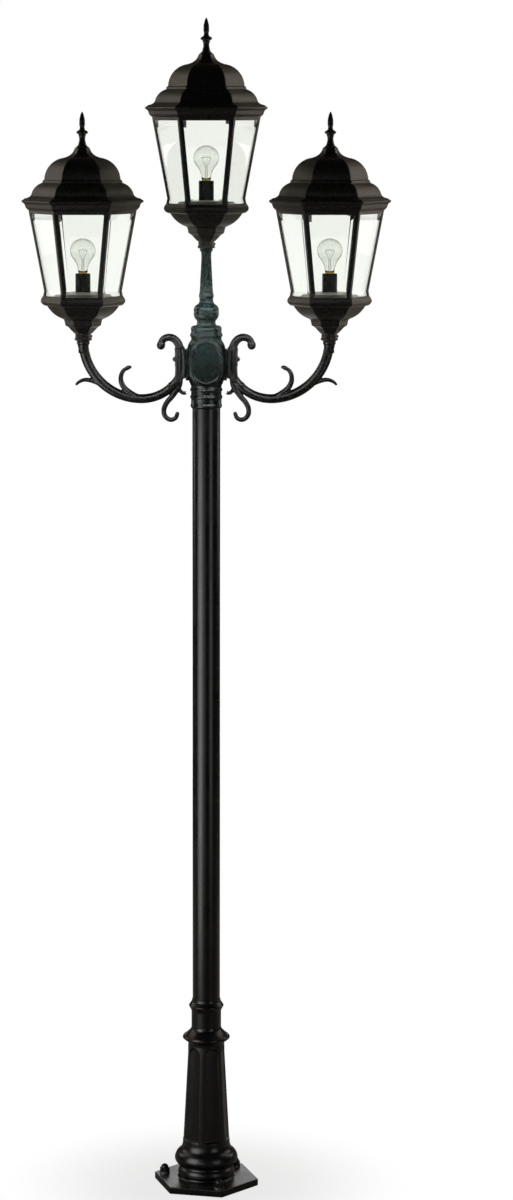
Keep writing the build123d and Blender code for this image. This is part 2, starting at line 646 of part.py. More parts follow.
with BuildPart() as lead_right:
    with BuildLine(Plane.XZ) as lead_route:
        riser = Line((REACH, SIDE_SEAT + LEAD_TOP), (REACH, SIDE_SEAT))
        swing = JernArc(riser @ 1, riser % 1, ARM_SWING, -90.0)
        back = JernArc(swing @ 1, swing % 1, ARM_RETURN, -ARM_RETURN_TURN)
        entry = JernArc(back @ 1, back % 1, ARM_ENTRY, ARM_RETURN_TURN)
        level = Line(entry @ 1, (LEAD_RISE + LEAD_BEND, LEAD_ENTRY))
        bend = JernArc(level @ 1, level % 1, LEAD_BEND, -90.0)
        Line(bend @ 1, (LEAD_RISE, SPLICE_BOTTOM))
    with BuildSketch(Plane(origin=riser @ 0, z_dir=riser % 0)):
        Circle(LEAD_RADIUS)
    sweep(path=lead_route.wires()[0])
lead_length = lead_route.wires()[0].length
print(f"side lead {lead_length:.0f} mm, volume over length {lead_right.part.volume / lead_length:.3f} mm2")
keep(lead_right.part, "lead_right")
keep(mirror(lead_right.part, about=Plane.YZ), "lead_left")

with BuildPart() as lead_centre:
    with BuildSketch(Plane.XY.offset(HUB_CEILING)):
        Circle(LEAD_RADIUS)
    extrude(amount=TOP_SEAT + LEAD_TOP - HUB_CEILING)
keep(lead_centre.part, "lead_centre")

with BuildPart() as lead_splice:
    with BuildSketch(Plane.XY.offset(SPLICE_BOTTOM)):
        RectangleRounded(2 * SPLICE_HALF, 2 * SPLICE_HALF, SPLICE_CORNER)
    extrude(amount=HUB_CEILING - SPLICE_BOTTOM)
keep(lead_splice.part, "lead_splice")

# ---------------------------------------------------------------- lantern: cup and collar

cup_blank = six_sided(CUP_OUTLINE)
cup_hollow = six_sided(CUP_HOLLOW)
collar_blank = turned(COLLAR_OUTLINE)
with BuildPart() as cup:
    add(cup_blank)
    add(collar_blank)
    add(cup_hollow, mode=Mode.SUBTRACT)
    with BuildSketch():
        Circle(SPIGOT_RADIUS + SPIGOT_SLACK)
    extrude(amount=SPIGOT_HEIGHT + SPIGOT_END_GAP, mode=Mode.SUBTRACT)
    with BuildSketch():
        Circle(NIPPLE_RADIUS + SCREW_SLACK)
    extrude(amount=SHELF_TOP + LOCK_NUT, mode=Mode.SUBTRACT)
    with PolarLocations(0, SET_SCREW_COUNT):
        with Locations(Location((0, 0, FITTER_HEIGHT), (0, 90, 0))):
            Cylinder(
                FITTER_SCREW + SCREW_SLACK, FITTER_DRILL,
                align=(Align.CENTER, Align.CENTER, Align.MIN), mode=Mode.SUBTRACT,
            )
keep_per_seat(cup.part, "cup")

with BuildPart() as fitter_screws:
    with PolarLocations(0, SET_SCREW_COUNT):
        with Locations(Location((SPIGOT_RADIUS + FITTER_GAP, 0, FITTER_HEIGHT), (0, 90, 0))):
            Cylinder(FITTER_SCREW, FITTER_SHANK, align=(Align.CENTER, Align.CENTER, Align.MIN))
        with Locations(Location((FITTER_HEAD_SEAT, 0, FITTER_HEIGHT), (0, 90, 0))):
            Cylinder(FITTER_HEAD, FITTER_HEAD_HEIGHT, align=(Align.CENTER, Align.CENTER, Align.MIN))
keep_per_seat(fitter_screws.part, "fitter_screws")

# ---------------------------------------------------------------- lantern: cage

lean = atan2((CAGE_TOP_RADIUS - CAGE_FOOT_RADIUS) * FLAT, CAGE_TOP - CAGE_FOOT)


def corner_radius(height, inset=0.0):
    """Radius of the cage's corners at a height, or of a surface lying so deep inside its faces."""
    share = (height - CAGE_FOOT) / (CAGE_TOP - CAGE_FOOT)
    outer = CAGE_FOOT_RADIUS + share * (CAGE_TOP_RADIUS - CAGE_FOOT_RADIUS)
    return outer - inset / (cos(lean) * FLAT)


cage_blank = six_sided(CAGE_OUTLINE)
cage_hollow = six_sided([
    (LEDGE_RADIUS, 90.0), (LEDGE_RADIUS, LEDGE), (corner_radius(LEDGE, WALL), LEDGE),
    (corner_radius(WINDOW_TOP, WALL), WINDOW_TOP), (RING_RADIUS, WINDOW_TOP),
    (RING_RADIUS, STRAP_LEDGE), (STRAP_LEDGE_RADIUS, STRAP_LEDGE), (STRAP_LEDGE_RADIUS, CAGE_TOP + 1.0),
])
window_foot = corner_radius(WINDOW_FOOT) / 2 - BAR_FLANGE
window_top = corner_radius(WINDOW_TOP) / 2 - BAR_FLANGE
with BuildPart() as window:
    with BuildSketch(Plane.XZ):
        Polygon(
            (-window_foot, WINDOW_FOOT), (window_foot, WINDOW_FOOT),
            (window_top, WINDOW_TOP), (-window_top, WINDOW_TOP), align=None,
        )
    extrude(amount=CROSSING)

with BuildPart() as cage:
    add(cage_blank)
    add(cage_hollow, mode=Mode.SUBTRACT)
    with PolarLocations(0, 6):
        add(window.part, mode=Mode.SUBTRACT)
keep_per_seat(cage.part, "cage")

# ---------------------------------------------------------------- lantern: glass

glass_face = Plane(
    origin=(0, -corner_radius(0.0, WALL + GLASS_GAP) * FLAT, 0),
    x_dir=(1, 0, 0), z_dir=(0, -cos(lean), -sin(lean)),
)


def pane_outline(inset):
    """Draw one pane's trapezium, drawn in by so much all round."""
    low = LEDGE + BODY_GAP + inset
    high = WINDOW_TOP - BODY_GAP - GLASS * sin(lean) - inset
    narrow = corner_radius(low, WALL + GLASS_GAP) / 2 - GLASS_MARGIN - inset
    wide = corner_radius(high, WALL + GLASS_GAP) / 2 - GLASS_MARGIN - inset
    Polygon(
        (-narrow, low / cos(lean)), (narrow, low / cos(lean)),
        (wide, high / cos(lean)), (-wide, high / cos(lean)), align=None,
    )


with BuildPart() as pane:
    with BuildSketch(glass_face.offset(-GLASS)):
        pane_outline(0.0)
    extrude(amount=GLASS - GLASS_BEVEL_DEPTH)
    with BuildSketch(glass_face.offset(-GLASS_BEVEL_DEPTH)):
        pane_outline(0.0)
    with BuildSketch(glass_face):
        pane_outline(GLASS_BEVEL)
    loft(ruled=True)

with BuildPart() as panes:
    with PolarLocations(0, 6):
        add(pane.part)
keep_per_seat(panes.part, "panes")

glass_back = WALL + GLASS_GAP + GLASS + CLIP_GAP
clip_head = WINDOW_TOP - CLIP_REST
clip_roof = WINDOW_TOP - BODY_GAP
clip_low = corner_radius(CLIP_FOOT, glass_back) * FLAT
clip_high = corner_radius(clip_head, glass_back) * FLAT
ring_face = RING_RADIUS * FLAT - CLIP_GAP
with BuildPart() as clip:
    with BuildSketch(Plane(origin=(CLIP_OFFSET, 0, 0), x_dir=(0, -1, 0), z_dir=(-1, 0, 0))):
        Polygon(
            (clip_low, CLIP_FOOT), (clip_high, clip_head), (clip_high, clip_roof),
            (ring_face, clip_roof), (ring_face, STRAP_LEDGE), (ring_face - CLIP_SHEET, STRAP_LEDGE),
            (ring_face - CLIP_SHEET, clip_roof - CLIP_SHEET),
            (clip_high - CLIP_SHEET, clip_roof - CLIP_SHEET), (clip_low - CLIP_SHEET, CLIP_FOOT),
            align=None,
        )
    extrude(amount=CLIP_WIDTH)
with BuildPart() as glass_clips:
    with PolarLocations(0, 6):
        add(clip.part)
keep_per_seat(glass_clips.part, "glass_clips")

# ---------------------------------------------------------------- lantern: pan, socket, nipple

pan_blank = turned([
    (PAN_RADIUS, LEDGE), (PAN_RADIUS, PAN_TOP + PAN_LIP), (PAN_RADIUS - PAN_LIP, PAN_TOP + PAN_LIP),
    (PAN_RADIUS - 2 * PAN_LIP, PAN_TOP),
])
with BuildPart() as pan:
    add(pan_blank)
    with BuildSketch(Plane.XY.offset(LEDGE)):
        Circle(NIPPLE_RADIUS + SCREW_SLACK)
    extrude(amount=PAN_TOP, mode=Mode.SUBTRACT)
keep_per_seat(pan.part, "pan")

socket_blank = turned([
    (SOCKET_FOOT_RADIUS, PAN_TOP), (SOCKET_FOOT_RADIUS, PAN_TOP + 4.0),
    (SOCKET_RADIUS, PAN_TOP + 6.0), (SOCKET_RADIUS, SOCKET_WAIST - 1.0), (20.0, SOCKET_WAIST),
    (SOCKET_RADIUS, SOCKET_WAIST + 1.0), (SOCKET_RADIUS, SOCKET_TOP - 2.0), (19.0, SOCKET_TOP, 0.5),
])
socket_core = turned([
    (NIPPLE_RADIUS + SCREW_SLACK, PAN_TOP - 1.0), (NIPPLE_RADIUS + SCREW_SLACK, NIPPLE_TOP),
    (SOCKET_WELL_RADIUS, NIPPLE_TOP), (SOCKET_WELL_RADIUS, SOCKET_WELL),
    (LAMP_BASE + LAMP_BASE_SLACK, SOCKET_WELL),
    (LAMP_BASE + LAMP_BASE_SLACK, SOCKET_TOP + 1.0),
])
with BuildPart() as socket:
    add(socket_blank)
    add(socket_core, mode=Mode.SUBTRACT)
keep_per_seat(socket.part, "socket")

with BuildPart() as socket_nipple:
    with BuildSketch(Plane.XY.offset(SPIGOT_HEIGHT + 1.0)):
        Circle(NIPPLE_RADIUS)
    extrude(amount=NIPPLE_TOP - SPIGOT_HEIGHT - 1.0)
    for height in (SHELF_TOP, LEDGE - LOCK_NUT):
        with BuildSketch(Plane.XY.offset(height)):
            RegularPolygon(radius=LOCK_NUT_RADIUS, side_count=6)
        extrude(amount=LOCK_NUT)
    with BuildSketch(Plane.XY.offset(SPIGOT_HEIGHT)):
        Circle(NIPPLE_BORE)
    extrude(amount=NIPPLE_TOP, mode=Mode.SUBTRACT)
keep_per_seat(socket_nipple.part, "socket_nipple")

# ---------------------------------------------------------------- lantern: lamp

bulb_blank = turned(BULB_OUTLINE)
bulb_void = turned(BULB_HOLLOW)
with BuildPart() as bulb_glass:
    add(bulb_blank)
    add(bulb_void, mode=Mode.SUBTRACT)
keep_per_seat(bulb_glass.part, "bulb_glass")

thread = []
for turn_up in range(LAMP_THREADS):
    valley = LAMP_SHELL + LAMP_PITCH * turn_up
    thread += [(LAMP_BASE - LAMP_THREAD, valley), (LAMP_BASE, valley + LAMP_PITCH / 2)]
lamp_shell_top = LAMP_SHELL + LAMP_PITCH * LAMP_THREADS
bulb_base = turned([
    (4.5, LAMP_TIP), (4.5, LAMP_TIP + 1.5), (10.5, LAMP_SHELL - 1.5),
    (LAMP_BASE - LAMP_THREAD, LAMP_SHELL - 1.0), *thread,
    (LAMP_BASE - LAMP_THREAD, lamp_shell_top), (LAMP_BASE - LAMP_THREAD, BULB_FOOT),
])
keep_per_seat(bulb_base, "bulb_base")

stem_press = turned([
    (11.0, BULB_FOOT), (4.0, BULB_FOOT + 9.0, -2.0), (3.2, MOUNT_HEAD), (2.4, MOUNT_HEAD + 4.0),
])
with BuildPart() as filament_mount:
    add(stem_press)
    for side in (-1, 1):
        wire_foot = Vector(side * 1.5, 0, MOUNT_HEAD)
        wire_head = Vector(side * FILAMENT_HALF, 0, FILAMENT_HEIGHT)
        with BuildSketch(Plane(origin=wire_foot, z_dir=wire_head - wire_foot)):
            Circle(FILAMENT_WIRE)
        extrude(amount=(wire_head - wire_foot).length)
    with BuildLine(Plane.XZ) as filament:
        ThreePointArc(
            (-FILAMENT_HALF, FILAMENT_HEIGHT), (0, FILAMENT_HEIGHT + FILAMENT_RISE),
            (FILAMENT_HALF, FILAMENT_HEIGHT),
        )
    with BuildSketch(Plane(origin=filament.line @ 0, z_dir=filament.line % 0)):
        Circle(FILAMENT_WIRE)
    sweep(path=filament.wires()[0])
keep_per_seat(filament_mount.part, "filament_mount")

# ---------------------------------------------------------------- lantern: roof and finial

rod_foot = STRAP_LEDGE - STRAP_NUT - ROD_END
with BuildPart() as roof_strap:
    with BuildSketch(Plane.XY.offset(STRAP_LEDGE)):
        Rectangle(STRAP_WIDTH, 2 * (STRAP_LEDGE_RADIUS * FLAT - STRAP_END_GAP))
    extrude(amount=STRAP_SHEET)
    with BuildSketch(Plane.XY.offset(rod_foot)):
        Circle(ROD_RADIUS)
    extrude(amount=ROD_TOP - rod_foot)
    for height in (STRAP_LEDGE - STRAP_NUT, STRAP_LEDGE + STRAP_SHEET):
        with BuildSketch(Plane.XY.offset(height)):
            RegularPolygon(radius=STRAP_NUT, side_count=6, major_radius=False)
        extrude(amount=STRAP_NUT)
keep_per_seat(roof_strap.part, "roof_strap")

roof_blank = six_sided(ROOF_OUTLINE)
roof_hollow = six_sided(ROOF_HOLLOW)
with BuildPart() as roof:
    add(roof_blank)
    add(roof_hollow, mode=Mode.SUBTRACT)
    with BuildSketch(Plane.XY.offset(CAGE_TOP)):
        Circle(ROOF_HOLE)
    extrude(amount=FINIAL_FOOT - CAGE_TOP, mode=Mode.SUBTRACT)
keep_per_seat(roof.part, "roof")

finial_blank = turned(FINIAL_OUTLINE)
with BuildPart() as finial:
    add(finial_blank)
    with BuildSketch(Plane.XY.offset(FINIAL_FOOT)):
        Circle(ROD_RADIUS + ROD_SLACK)
    extrude(amount=ROD_TOP + ROD_END - FINIAL_FOOT, mode=Mode.SUBTRACT)
keep_per_seat(finial.part, "finial")
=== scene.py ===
# %% [markdown]
# # A triple head lamp post
#
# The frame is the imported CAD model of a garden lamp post: a bolted foot, a round pole, a hub with two
# scroll arms and a stem, and three clear glass lanterns. This lesson dresses it: a camera where the
# photographer stood, a plain studio, a real finish for each piece, and meshes for the castings,
# whose moulded edges, leaves and ribs the CAD solids leave plain.

# %% Load the frame
import json
import math

import bmesh
import bpy
from mathutils import Matrix, Vector


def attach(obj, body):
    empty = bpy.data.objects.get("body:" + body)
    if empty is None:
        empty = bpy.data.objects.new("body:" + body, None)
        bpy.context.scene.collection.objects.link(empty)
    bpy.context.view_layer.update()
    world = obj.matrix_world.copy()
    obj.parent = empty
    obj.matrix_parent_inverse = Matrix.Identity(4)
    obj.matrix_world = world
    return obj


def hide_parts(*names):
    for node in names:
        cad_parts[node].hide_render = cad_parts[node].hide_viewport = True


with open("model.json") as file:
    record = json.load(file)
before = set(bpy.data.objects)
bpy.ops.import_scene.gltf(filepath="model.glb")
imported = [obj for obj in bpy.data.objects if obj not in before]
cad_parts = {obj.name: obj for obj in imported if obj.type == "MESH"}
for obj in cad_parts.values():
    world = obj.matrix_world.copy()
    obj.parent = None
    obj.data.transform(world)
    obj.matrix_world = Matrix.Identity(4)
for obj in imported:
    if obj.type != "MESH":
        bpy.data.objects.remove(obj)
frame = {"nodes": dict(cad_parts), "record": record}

scene = bpy.context.scene
MM = 0.001
SEATS = {"left": Vector((-335.0, 0.0, 2375.0)), "centre": Vector((0.0, 0.0, 2625.0)),
         "right": Vector((335.0, 0.0, 2375.0))}
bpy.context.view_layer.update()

# %% [markdown]
# ## The camera
#
# The photograph is 513 by 1200 pixels. The pole, a 3 inch tube, is 27.9 pixels wide at the hub and
# 27.2 at the foot, and the foot is seen from 18 degrees above. Together these put the lens 3.0 m
# above the ground and 9.2 m in front, tipped down by 8.4 degrees. The post stands left of the
# picture's middle, which is a small sideways shift of the lens and no turn.

# %% Camera
PHOTO_WIDTH, PHOTO_HEIGHT = 513, 1200
FOCAL_PIXELS = 3387
AXIS_PIXEL = 206.3
SENSOR = 36.0
LENS_BACK, LENS_HEIGHT, TIPPED_DOWN = 9.226, 3.023, 8.4

camera = bpy.data.objects.new("camera", bpy.data.cameras.new("camera"))
scene.collection.objects.link(camera)
scene.camera = camera
camera.location = (0.0, -LENS_BACK, LENS_HEIGHT)
camera.rotation_euler = (math.radians(90.0 - TIPPED_DOWN), 0.0, 0.0)
camera.data.sensor_width = SENSOR
camera.data.lens = SENSOR * FOCAL_PIXELS / PHOTO_HEIGHT
camera.data.shift_x = (PHOTO_WIDTH / 2 - AXIS_PIXEL) / PHOTO_HEIGHT
print("lens", round(camera.data.lens, 1), "mm, shift", round(camera.data.shift_x, 4))

# %% [markdown]
# ## Two helpers
#
# Colours are written as the hex values that a picture editor shows. Blender calculates with linear
# light, so one function turns them. A second one adds a shader node, sets it and links it, so that
# each finish below reads as a short recipe.


# %% Colour and node helpers
def linear(code):
    """An sRGB hex colour as linear red, green, blue and full alpha."""
    shares = [int(code[i:i + 2], 16) / 255 for i in (1, 3, 5)]
    return [s / 12.92 if s <= 0.04045 else ((s + 0.055) / 1.055) ** 2.4 for s in shares] + [1.0]


def add_node(tree, kind, settings={}, sockets={}):
    """Add a node; a socket is linked when it is given another node's output, and else set."""
    node = tree.nodes.new(kind)
    for name, value in settings.items():
        setattr(node, name, value)
    for name, value in sockets.items():
        if isinstance(value, bpy.types.NodeSocket):
            tree.links.new(value, node.inputs[name])
        else:
            node.inputs[name].default_value = value
    return node


# %% [markdown]
# ## The studio
#
# Black enamel shows hardly any colour of its own, so it is drawn by what it mirrors and by the little
# light that it spreads. The photograph has black front faces, grey side faces and a bright stripe
# left on the pole. A Blender lamp can give spread light, mirrored light or both. So large soft boxes
# behind the lanterns give spread light alone, which greys the sides without a glare, and cards that
# are only mirrored draw the stripes on the pole and the sheen on the panes. A small lamp and four
# cards show the green-black hub. The world is white where the camera or a ray through glass sees it,
# and nearly dark where it lights or is mirrored in the paint.
# The lanterns' enamel is made lighter than the pole's, as painted light, so that spread light greys their
# sides.

# %% World
# Strengths of the world as light and as mirrored, and of the white that is seen straight through a
# pane and after a mirroring
WORLD_LIGHT, WORLD_MIRRORED = 0.035, 0.02
PANE_CLEAR, PANE_BOUNCED = 1.11, 0.8
scene.view_settings.view_transform = "Standard"
scene.world = bpy.data.worlds.new("studio")
scene.world.use_nodes = True
world = scene.world.node_tree
world.nodes.clear()


def through_glass(tree, clear, bounced):
    """1 for what the camera sees; through glass, clear, or bounced if the ray was mirrored on its way."""
    rays = add_node(tree, "ShaderNodeLightPath")
    level = add_node(tree, "ShaderNodeMapRange", {"clamp": True},
                     {"Value": rays.outputs["Glossy Depth"], "From Min": 0.0, "From Max": 1.0,
                      "To Min": clear, "To Max": bounced})
    unspread = add_node(tree, "ShaderNodeMath", {"operation": "LESS_THAN"},
                        {0: rays.outputs["Diffuse Depth"], 1: 0.5})
    inside = add_node(tree, "ShaderNodeMath", {"operation": "MULTIPLY"},
                      {0: rays.outputs["Is Transmission Ray"], 1: unspread.outputs[0]})
    seen = add_node(tree, "ShaderNodeMath", {"operation": "MULTIPLY_ADD"},
                    {0: inside.outputs[0], 1: level.outputs[0], 2: rays.outputs["Is Camera Ray"]})
    return seen.outputs[0]


rays = add_node(world, "ShaderNodeLightPath")
dim = add_node(world, "ShaderNodeMix", {},
               {"Factor": rays.outputs["Is Glossy Ray"], "A": WORLD_LIGHT, "B": WORLD_MIRRORED})
level = add_node(world, "ShaderNodeMath", {"operation": "MAXIMUM"},
                 {0: through_glass(world, PANE_CLEAR, PANE_BOUNCED), 1: dim.outputs[0]})
sky = add_node(world, "ShaderNodeBackground", {},
               {"Color": linear("#ffffff"), "Strength": level.outputs[0]})
add_node(world, "ShaderNodeOutputWorld", {}, {"Surface": sky.outputs[0]})


# %% Soft boxes
def soft_box(name, place, aim, width, height, power, colour="#ffffff", mirrored=True, spread=True, grid=180):
    """A rectangular lamp in metres and watts that isn't seen itself.

    It may show in mirrored light only, or in spread light only. A grid, as the honeycomb on a
    studio lamp, keeps its light within that many degrees.
    """
    lamp = bpy.data.lights.new(name, "AREA")
    lamp.shape = "RECTANGLE"
    lamp.size, lamp.size_y = width, height
    lamp.energy = power
    lamp.color = linear(colour)[:3]
    lamp.spread = math.radians(grid)
    box = bpy.data.objects.new(name, lamp)
    scene.collection.objects.link(box)
    box.location = place
    box.rotation_euler = (Vector(aim) - Vector(place)).to_track_quat("-Z", "Y").to_euler()
    box.visible_camera = False
    box.visible_transmission = False
    box.visible_glossy = mirrored
    box.visible_diffuse = spread


HEADS, WARM = (0, 0, 2.7), "#fff5ea"
for side, way in (("left", -1), ("right", 1)):
    # The rim box shows in the enamel as a pale edge along roofs, bars and arms
    soft_box(f"rim_{side}", (way * 3.9, 2.0, 3.9), HEADS, 2.6, 3.6, 30, "#fff2e2")
    # Spread light from above and below, stronger on the right, greys the side faces
    soft_box(f"wall_{side}", (way * 3.5, 2.5, 3.3), HEADS, 2.4, 3.0, 510 + 70 * way, WARM, mirrored=False)
    soft_box(f"low_{side}", (way * 3.0, 2.0, 0.6), (0, 0, 2.5), 2.4, 1.0, 250 + 20 * way, WARM,
             mirrored=False)
    # A low card shows in the side panes, which lean out and mirror what is low
    soft_box(f"card_{side}", (way * 3.9, 2.2, 1.75), (0, 0, 2.2), 1.3, 0.8, 5, spread=False)
# The pole's bright stripe, two weaker ones, and a card behind that the foot's ledges mirror
soft_box("stripe_left", (-1.89, -1.48, 1.08), (0, 0, 1.08), 1.56, 1.9, 36, spread=False)
soft_box("stripe_front", (-1.4, -3.7, 0.95), (0, 0, 1.0), 1.3, 1.5, 7, spread=False)
soft_box("stripe_right", (2.52, -3.1, 1.3), (0, 0, 1.3), 1.3, 2.2, 14, spread=False)
soft_box("card_back", (0, 3.0, 1.0), (0, 0, 0), 2.0, 0.9, 9, spread=False)
# The hub's own light: the grids keep it off the lanterns
soft_box("hub_front", (-0.45, -2.65, 3.05), (0, 0, 2.45), 0.1, 0.1, 0.68, mirrored=False, grid=9)
for turn in (-50, -15, 20, 50):
    a = math.radians(turn)
    place = (math.sin(a), -math.cos(a), 2.85)
    soft_box(f"hub_card_{turn}", place, (0, 0, 2.27), 0.5, 0.5, 0.32, spread=False, grid=40)

# %% [markdown]
# ## The floor
#
# A plain pale floor carries the post. Seen by the camera it is as white as the world behind it, and
# near the foot it keeps the post's soft shadow.

# %% Floor
FLOOR_RADIUS = 14.0
# White beyond the far radius, and within the near one a fifth is left to the shadow
SHADOW_NEAR, SHADOW_FAR, GLOW_NEAR = 0.16, 0.6, 0.8
floor_mesh = bmesh.new()
bmesh.ops.create_circle(floor_mesh, cap_ends=True, segments=96, radius=FLOOR_RADIUS)
floor_data = bpy.data.meshes.new("floor")
floor_mesh.to_mesh(floor_data)
floor_mesh.free()
floor = bpy.data.objects.new("floor", floor_data)
scene.collection.objects.link(floor)

floor_finish = bpy.data.materials.new("painted studio floor")
floor_finish.use_nodes = True
tree = floor_finish.node_tree
tree.nodes.clear()
place = add_node(tree, "ShaderNodeTexCoord")
far = add_node(tree, "ShaderNodeVectorMath", {"operation": "LENGTH"}, {0: place.outputs["Object"]})
fade = add_node(tree, "ShaderNodeMapRange", {"clamp": True, "interpolation_type": "SMOOTHSTEP"},
                {"Value": far.outputs["Value"], "From Min": SHADOW_NEAR, "From Max": SHADOW_FAR,
                 "To Min": GLOW_NEAR, "To Max": 1.0})
share = add_node(tree, "ShaderNodeMath", {"operation": "MULTIPLY"},
                 {0: through_glass(tree, 1.0, 0.0), 1: fade.outputs[0]})
matt = add_node(tree, "ShaderNodeBsdfDiffuse", {}, {"Color": linear("#424240")})
glow = add_node(tree, "ShaderNodeEmission", {}, {"Color": linear("#ffffff"), "Strength": 1.0})
both = add_node(tree, "ShaderNodeMixShader", {},
                {0: share.outputs[0], 1: matt.outputs[0], 2: glow.outputs[0]})
add_node(tree, "ShaderNodeOutputMaterial", {}, {"Surface": both.outputs[0]})
floor_data.materials.append(floor_finish)
print("floor", 2 * FLOOR_RADIUS, "m across")

# %% [markdown]
# ## The finishes
#
# The castings and the tube are aluminium under stove enamel. A sand casting keeps a faint grain under
# its paint, and the paint itself dries to an orange peel; the drawn tube has only the orange peel.
# Clear varnished paint mirrors about as window glass does, so its IOR is 1.5. Two noises drive a
# finish: a broad one for the cloudy colour and gloss, a fine one for the relief.


# %% Enamel on metal
def new_finish(name):
    """A new material, its node tree and its main shader."""
    made = bpy.data.materials.new(name)
    made.use_nodes = True
    return made, made.node_tree, made.node_tree.nodes["Principled BSDF"]


NOISE_LOW, NOISE_HIGH = 0.36, 0.64  # Blender's noise stays mostly between these


def clouded(name, dark, light, gloss, cloud_mm, grain_mm, grain_depth_mm, **steady):
    """A finish whose colour and roughness drift between two values over a fine relief."""
    made, tree, shader = new_finish(name)
    place = add_node(tree, "ShaderNodeTexCoord")
    cloud = add_node(tree, "ShaderNodeTexNoise", {},
                     {"Vector": place.outputs["Object"], "Scale": 1000 / cloud_mm, "Detail": 4.0})
    patch = add_node(tree, "ShaderNodeMapRange", {},
                     {"Value": cloud.outputs["Fac"], "From Min": NOISE_LOW, "From Max": NOISE_HIGH})
    tint = add_node(tree, "ShaderNodeMix", {"data_type": "RGBA"},
                    {"Factor": patch.outputs[0], 6: linear(dark), 7: linear(light)})
    rough = add_node(tree, "ShaderNodeMapRange", {},
                     {"Value": patch.outputs[0], "To Min": gloss[0], "To Max": gloss[1]})
    grain = add_node(tree, "ShaderNodeTexNoise", {},
                     {"Vector": place.outputs["Object"], "Scale": 1000 / grain_mm, "Detail": 3.0})
    bump = add_node(tree, "ShaderNodeBump", {},
                    {"Height": grain.outputs["Fac"], "Strength": 1.0, "Distance": grain_depth_mm * MM})
    tree.links.new(tint.outputs[2], shader.inputs["Base Color"])
    tree.links.new(rough.outputs[0], shader.inputs["Roughness"])
    tree.links.new(bump.outputs[0], shader.inputs["Normal"])
    for socket, value in steady.items():
        shader.inputs[socket.replace("_", " ")].default_value = value
    return made


FINISH = {
    # This copy of the black enamel is lighter than the pole's, as painted light that greys the lit sides
    # Sand grain of about 2 mm shows through the paint as a faint speckle on the lit faces
    "cast_black": clouded(
        "stove enamel on sand-cast aluminium", "#161512", "#373530", (0.34, 0.44), 6, 2.2, 0.03,
        IOR=1.5, Specular_IOR_Level=0.3),
    # The arms' pattern is carved all over in strokes of about 4 mm, so their gloss breaks up into flecks
    "arm_black": clouded(
        "stove enamel on a carved casting", "#0a0a09", "#1c1b19", (0.26, 0.4), 8, 4.0, 0.3, IOR=1.5),
    # Orange peel of about 6 mm, hardly deep at all: the stripes on the tube waver a little
    "pole_black": clouded(
        "stove enamel on drawn aluminium tube", "#050505", "#0a0a0a", (0.27, 0.33), 60, 6.0, 0.004,
        IOR=1.5),
    # Two coats fill the sand grain nearly level, so the hub is glossy and even
    "hub_green_black": clouded(
        "green-black enamel on sand-cast aluminium", "#131e1c", "#152220", (0.25, 0.28), 14, 2.2,
        0.003, IOR=1.5),
}
print(len(FINISH), "enamels")

# %% [markdown]
# ## Bare metal, mouldings and glass
#
# Zinc plate is dull and patchy, rolled brass brighter. Phenolic plastic comes glossy from a polished
# mould. Glass is drawn as glass; only its shadow is taken from a see-through shader, because light
# that bends through it would otherwise leave the lamp inside dark.

# %% Metals and mouldings
FINISH.update({
    # Zinc in patches of a few mm: a dull, blotchy mirror
    "plated_steel": clouded(
        "zinc-plated steel", "#76777a", "#9a9b9d", (0.34, 0.5), 5, 0.6, 0.01, Metallic=1.0),
    # Rolled to its thread, so warm and bright with faint clouds
    "lamp_brass": clouded(
        "rolled brass", "#b8934a", "#cfac62", (0.22, 0.34), 6, 0.5, 0.006, Metallic=1.0),
    # Its polished mould leaves it glossy, but it shows as plain black, so it mirrors less than usual
    "socket_black": clouded(
        "moulded phenolic", "#050505", "#0a0a09", (0.2, 0.28), 12, 1.0, 0.004, IOR=1.55,
        Specular_IOR_Level=0.2),
    # Spun smooth and sprayed pale: a light, satin floor below the lamp
    "pan_grey": clouded(
        "pale enamel on spun aluminium", "#8f9090", "#a3a4a2", (0.32, 0.45), 20, 1.5, 0.01, IOR=1.5),
    # Pressed out hot and cooled in water: matt and even
    "lead_sheath": clouded(
        "extruded PVC sheath", "#0d0d0d", "#151514", (0.4, 0.55), 8, 0.8, 0.01, IOR=1.53),
    # Nylon is milky, with the soft sheen of its mould
    "splice_body": clouded(
        "moulded nylon terminal block", "#a9a9a2", "#bcbcb5", (0.42, 0.55), 9, 0.8, 0.01, IOR=1.53),
    # A drop that set as it fell: bright and a little uneven
    "solder": clouded("tinned solder", "#a6a6a4", "#c2c2bf", (0.25, 0.4), 3, 0.5, 0.02, Metallic=1.0),
    # Bright when drawn, greyer where glass was sealed round it
    "lamp_wire": clouded(
        "drawn nickel and tungsten wire", "#6e6a66", "#8a8682", (0.3, 0.4), 3, 0.3, 0.003, Metallic=1.0),
})


# %% Glass
def glazing(name, tint, ripple_mm, ripple_depth_mm):
    """Clear glass with the faint ripple of its making, and a see-through shadow."""
    made, tree, shader = new_finish(name)
    place = add_node(tree, "ShaderNodeTexCoord")
    ripple = add_node(tree, "ShaderNodeTexNoise", {},
                      {"Vector": place.outputs["Object"], "Scale": 1000 / ripple_mm, "Detail": 1.0})
    bump = add_node(tree, "ShaderNodeBump", {},
                    {"Height": ripple.outputs["Fac"], "Strength": 1.0, "Distance": ripple_depth_mm * MM})
    tree.links.new(bump.outputs[0], shader.inputs["Normal"])
    shader.inputs["Base Color"].default_value = linear(tint)
    shader.inputs["Transmission Weight"].default_value = 1.0
    shader.inputs["Roughness"].default_value = 0.0
    shader.inputs["IOR"].default_value = 1.52
    rays = add_node(tree, "ShaderNodeLightPath")
    clear = add_node(tree, "ShaderNodeBsdfTransparent", {}, {"Color": linear(tint)})
    shadow = add_node(tree, "ShaderNodeMixShader", {},
                      {0: rays.outputs["Is Shadow Ray"], 1: shader.outputs[0], 2: clear.outputs[0]})
    tree.links.new(shadow.outputs[0], tree.nodes["Material Output"].inputs["Surface"])
    return made


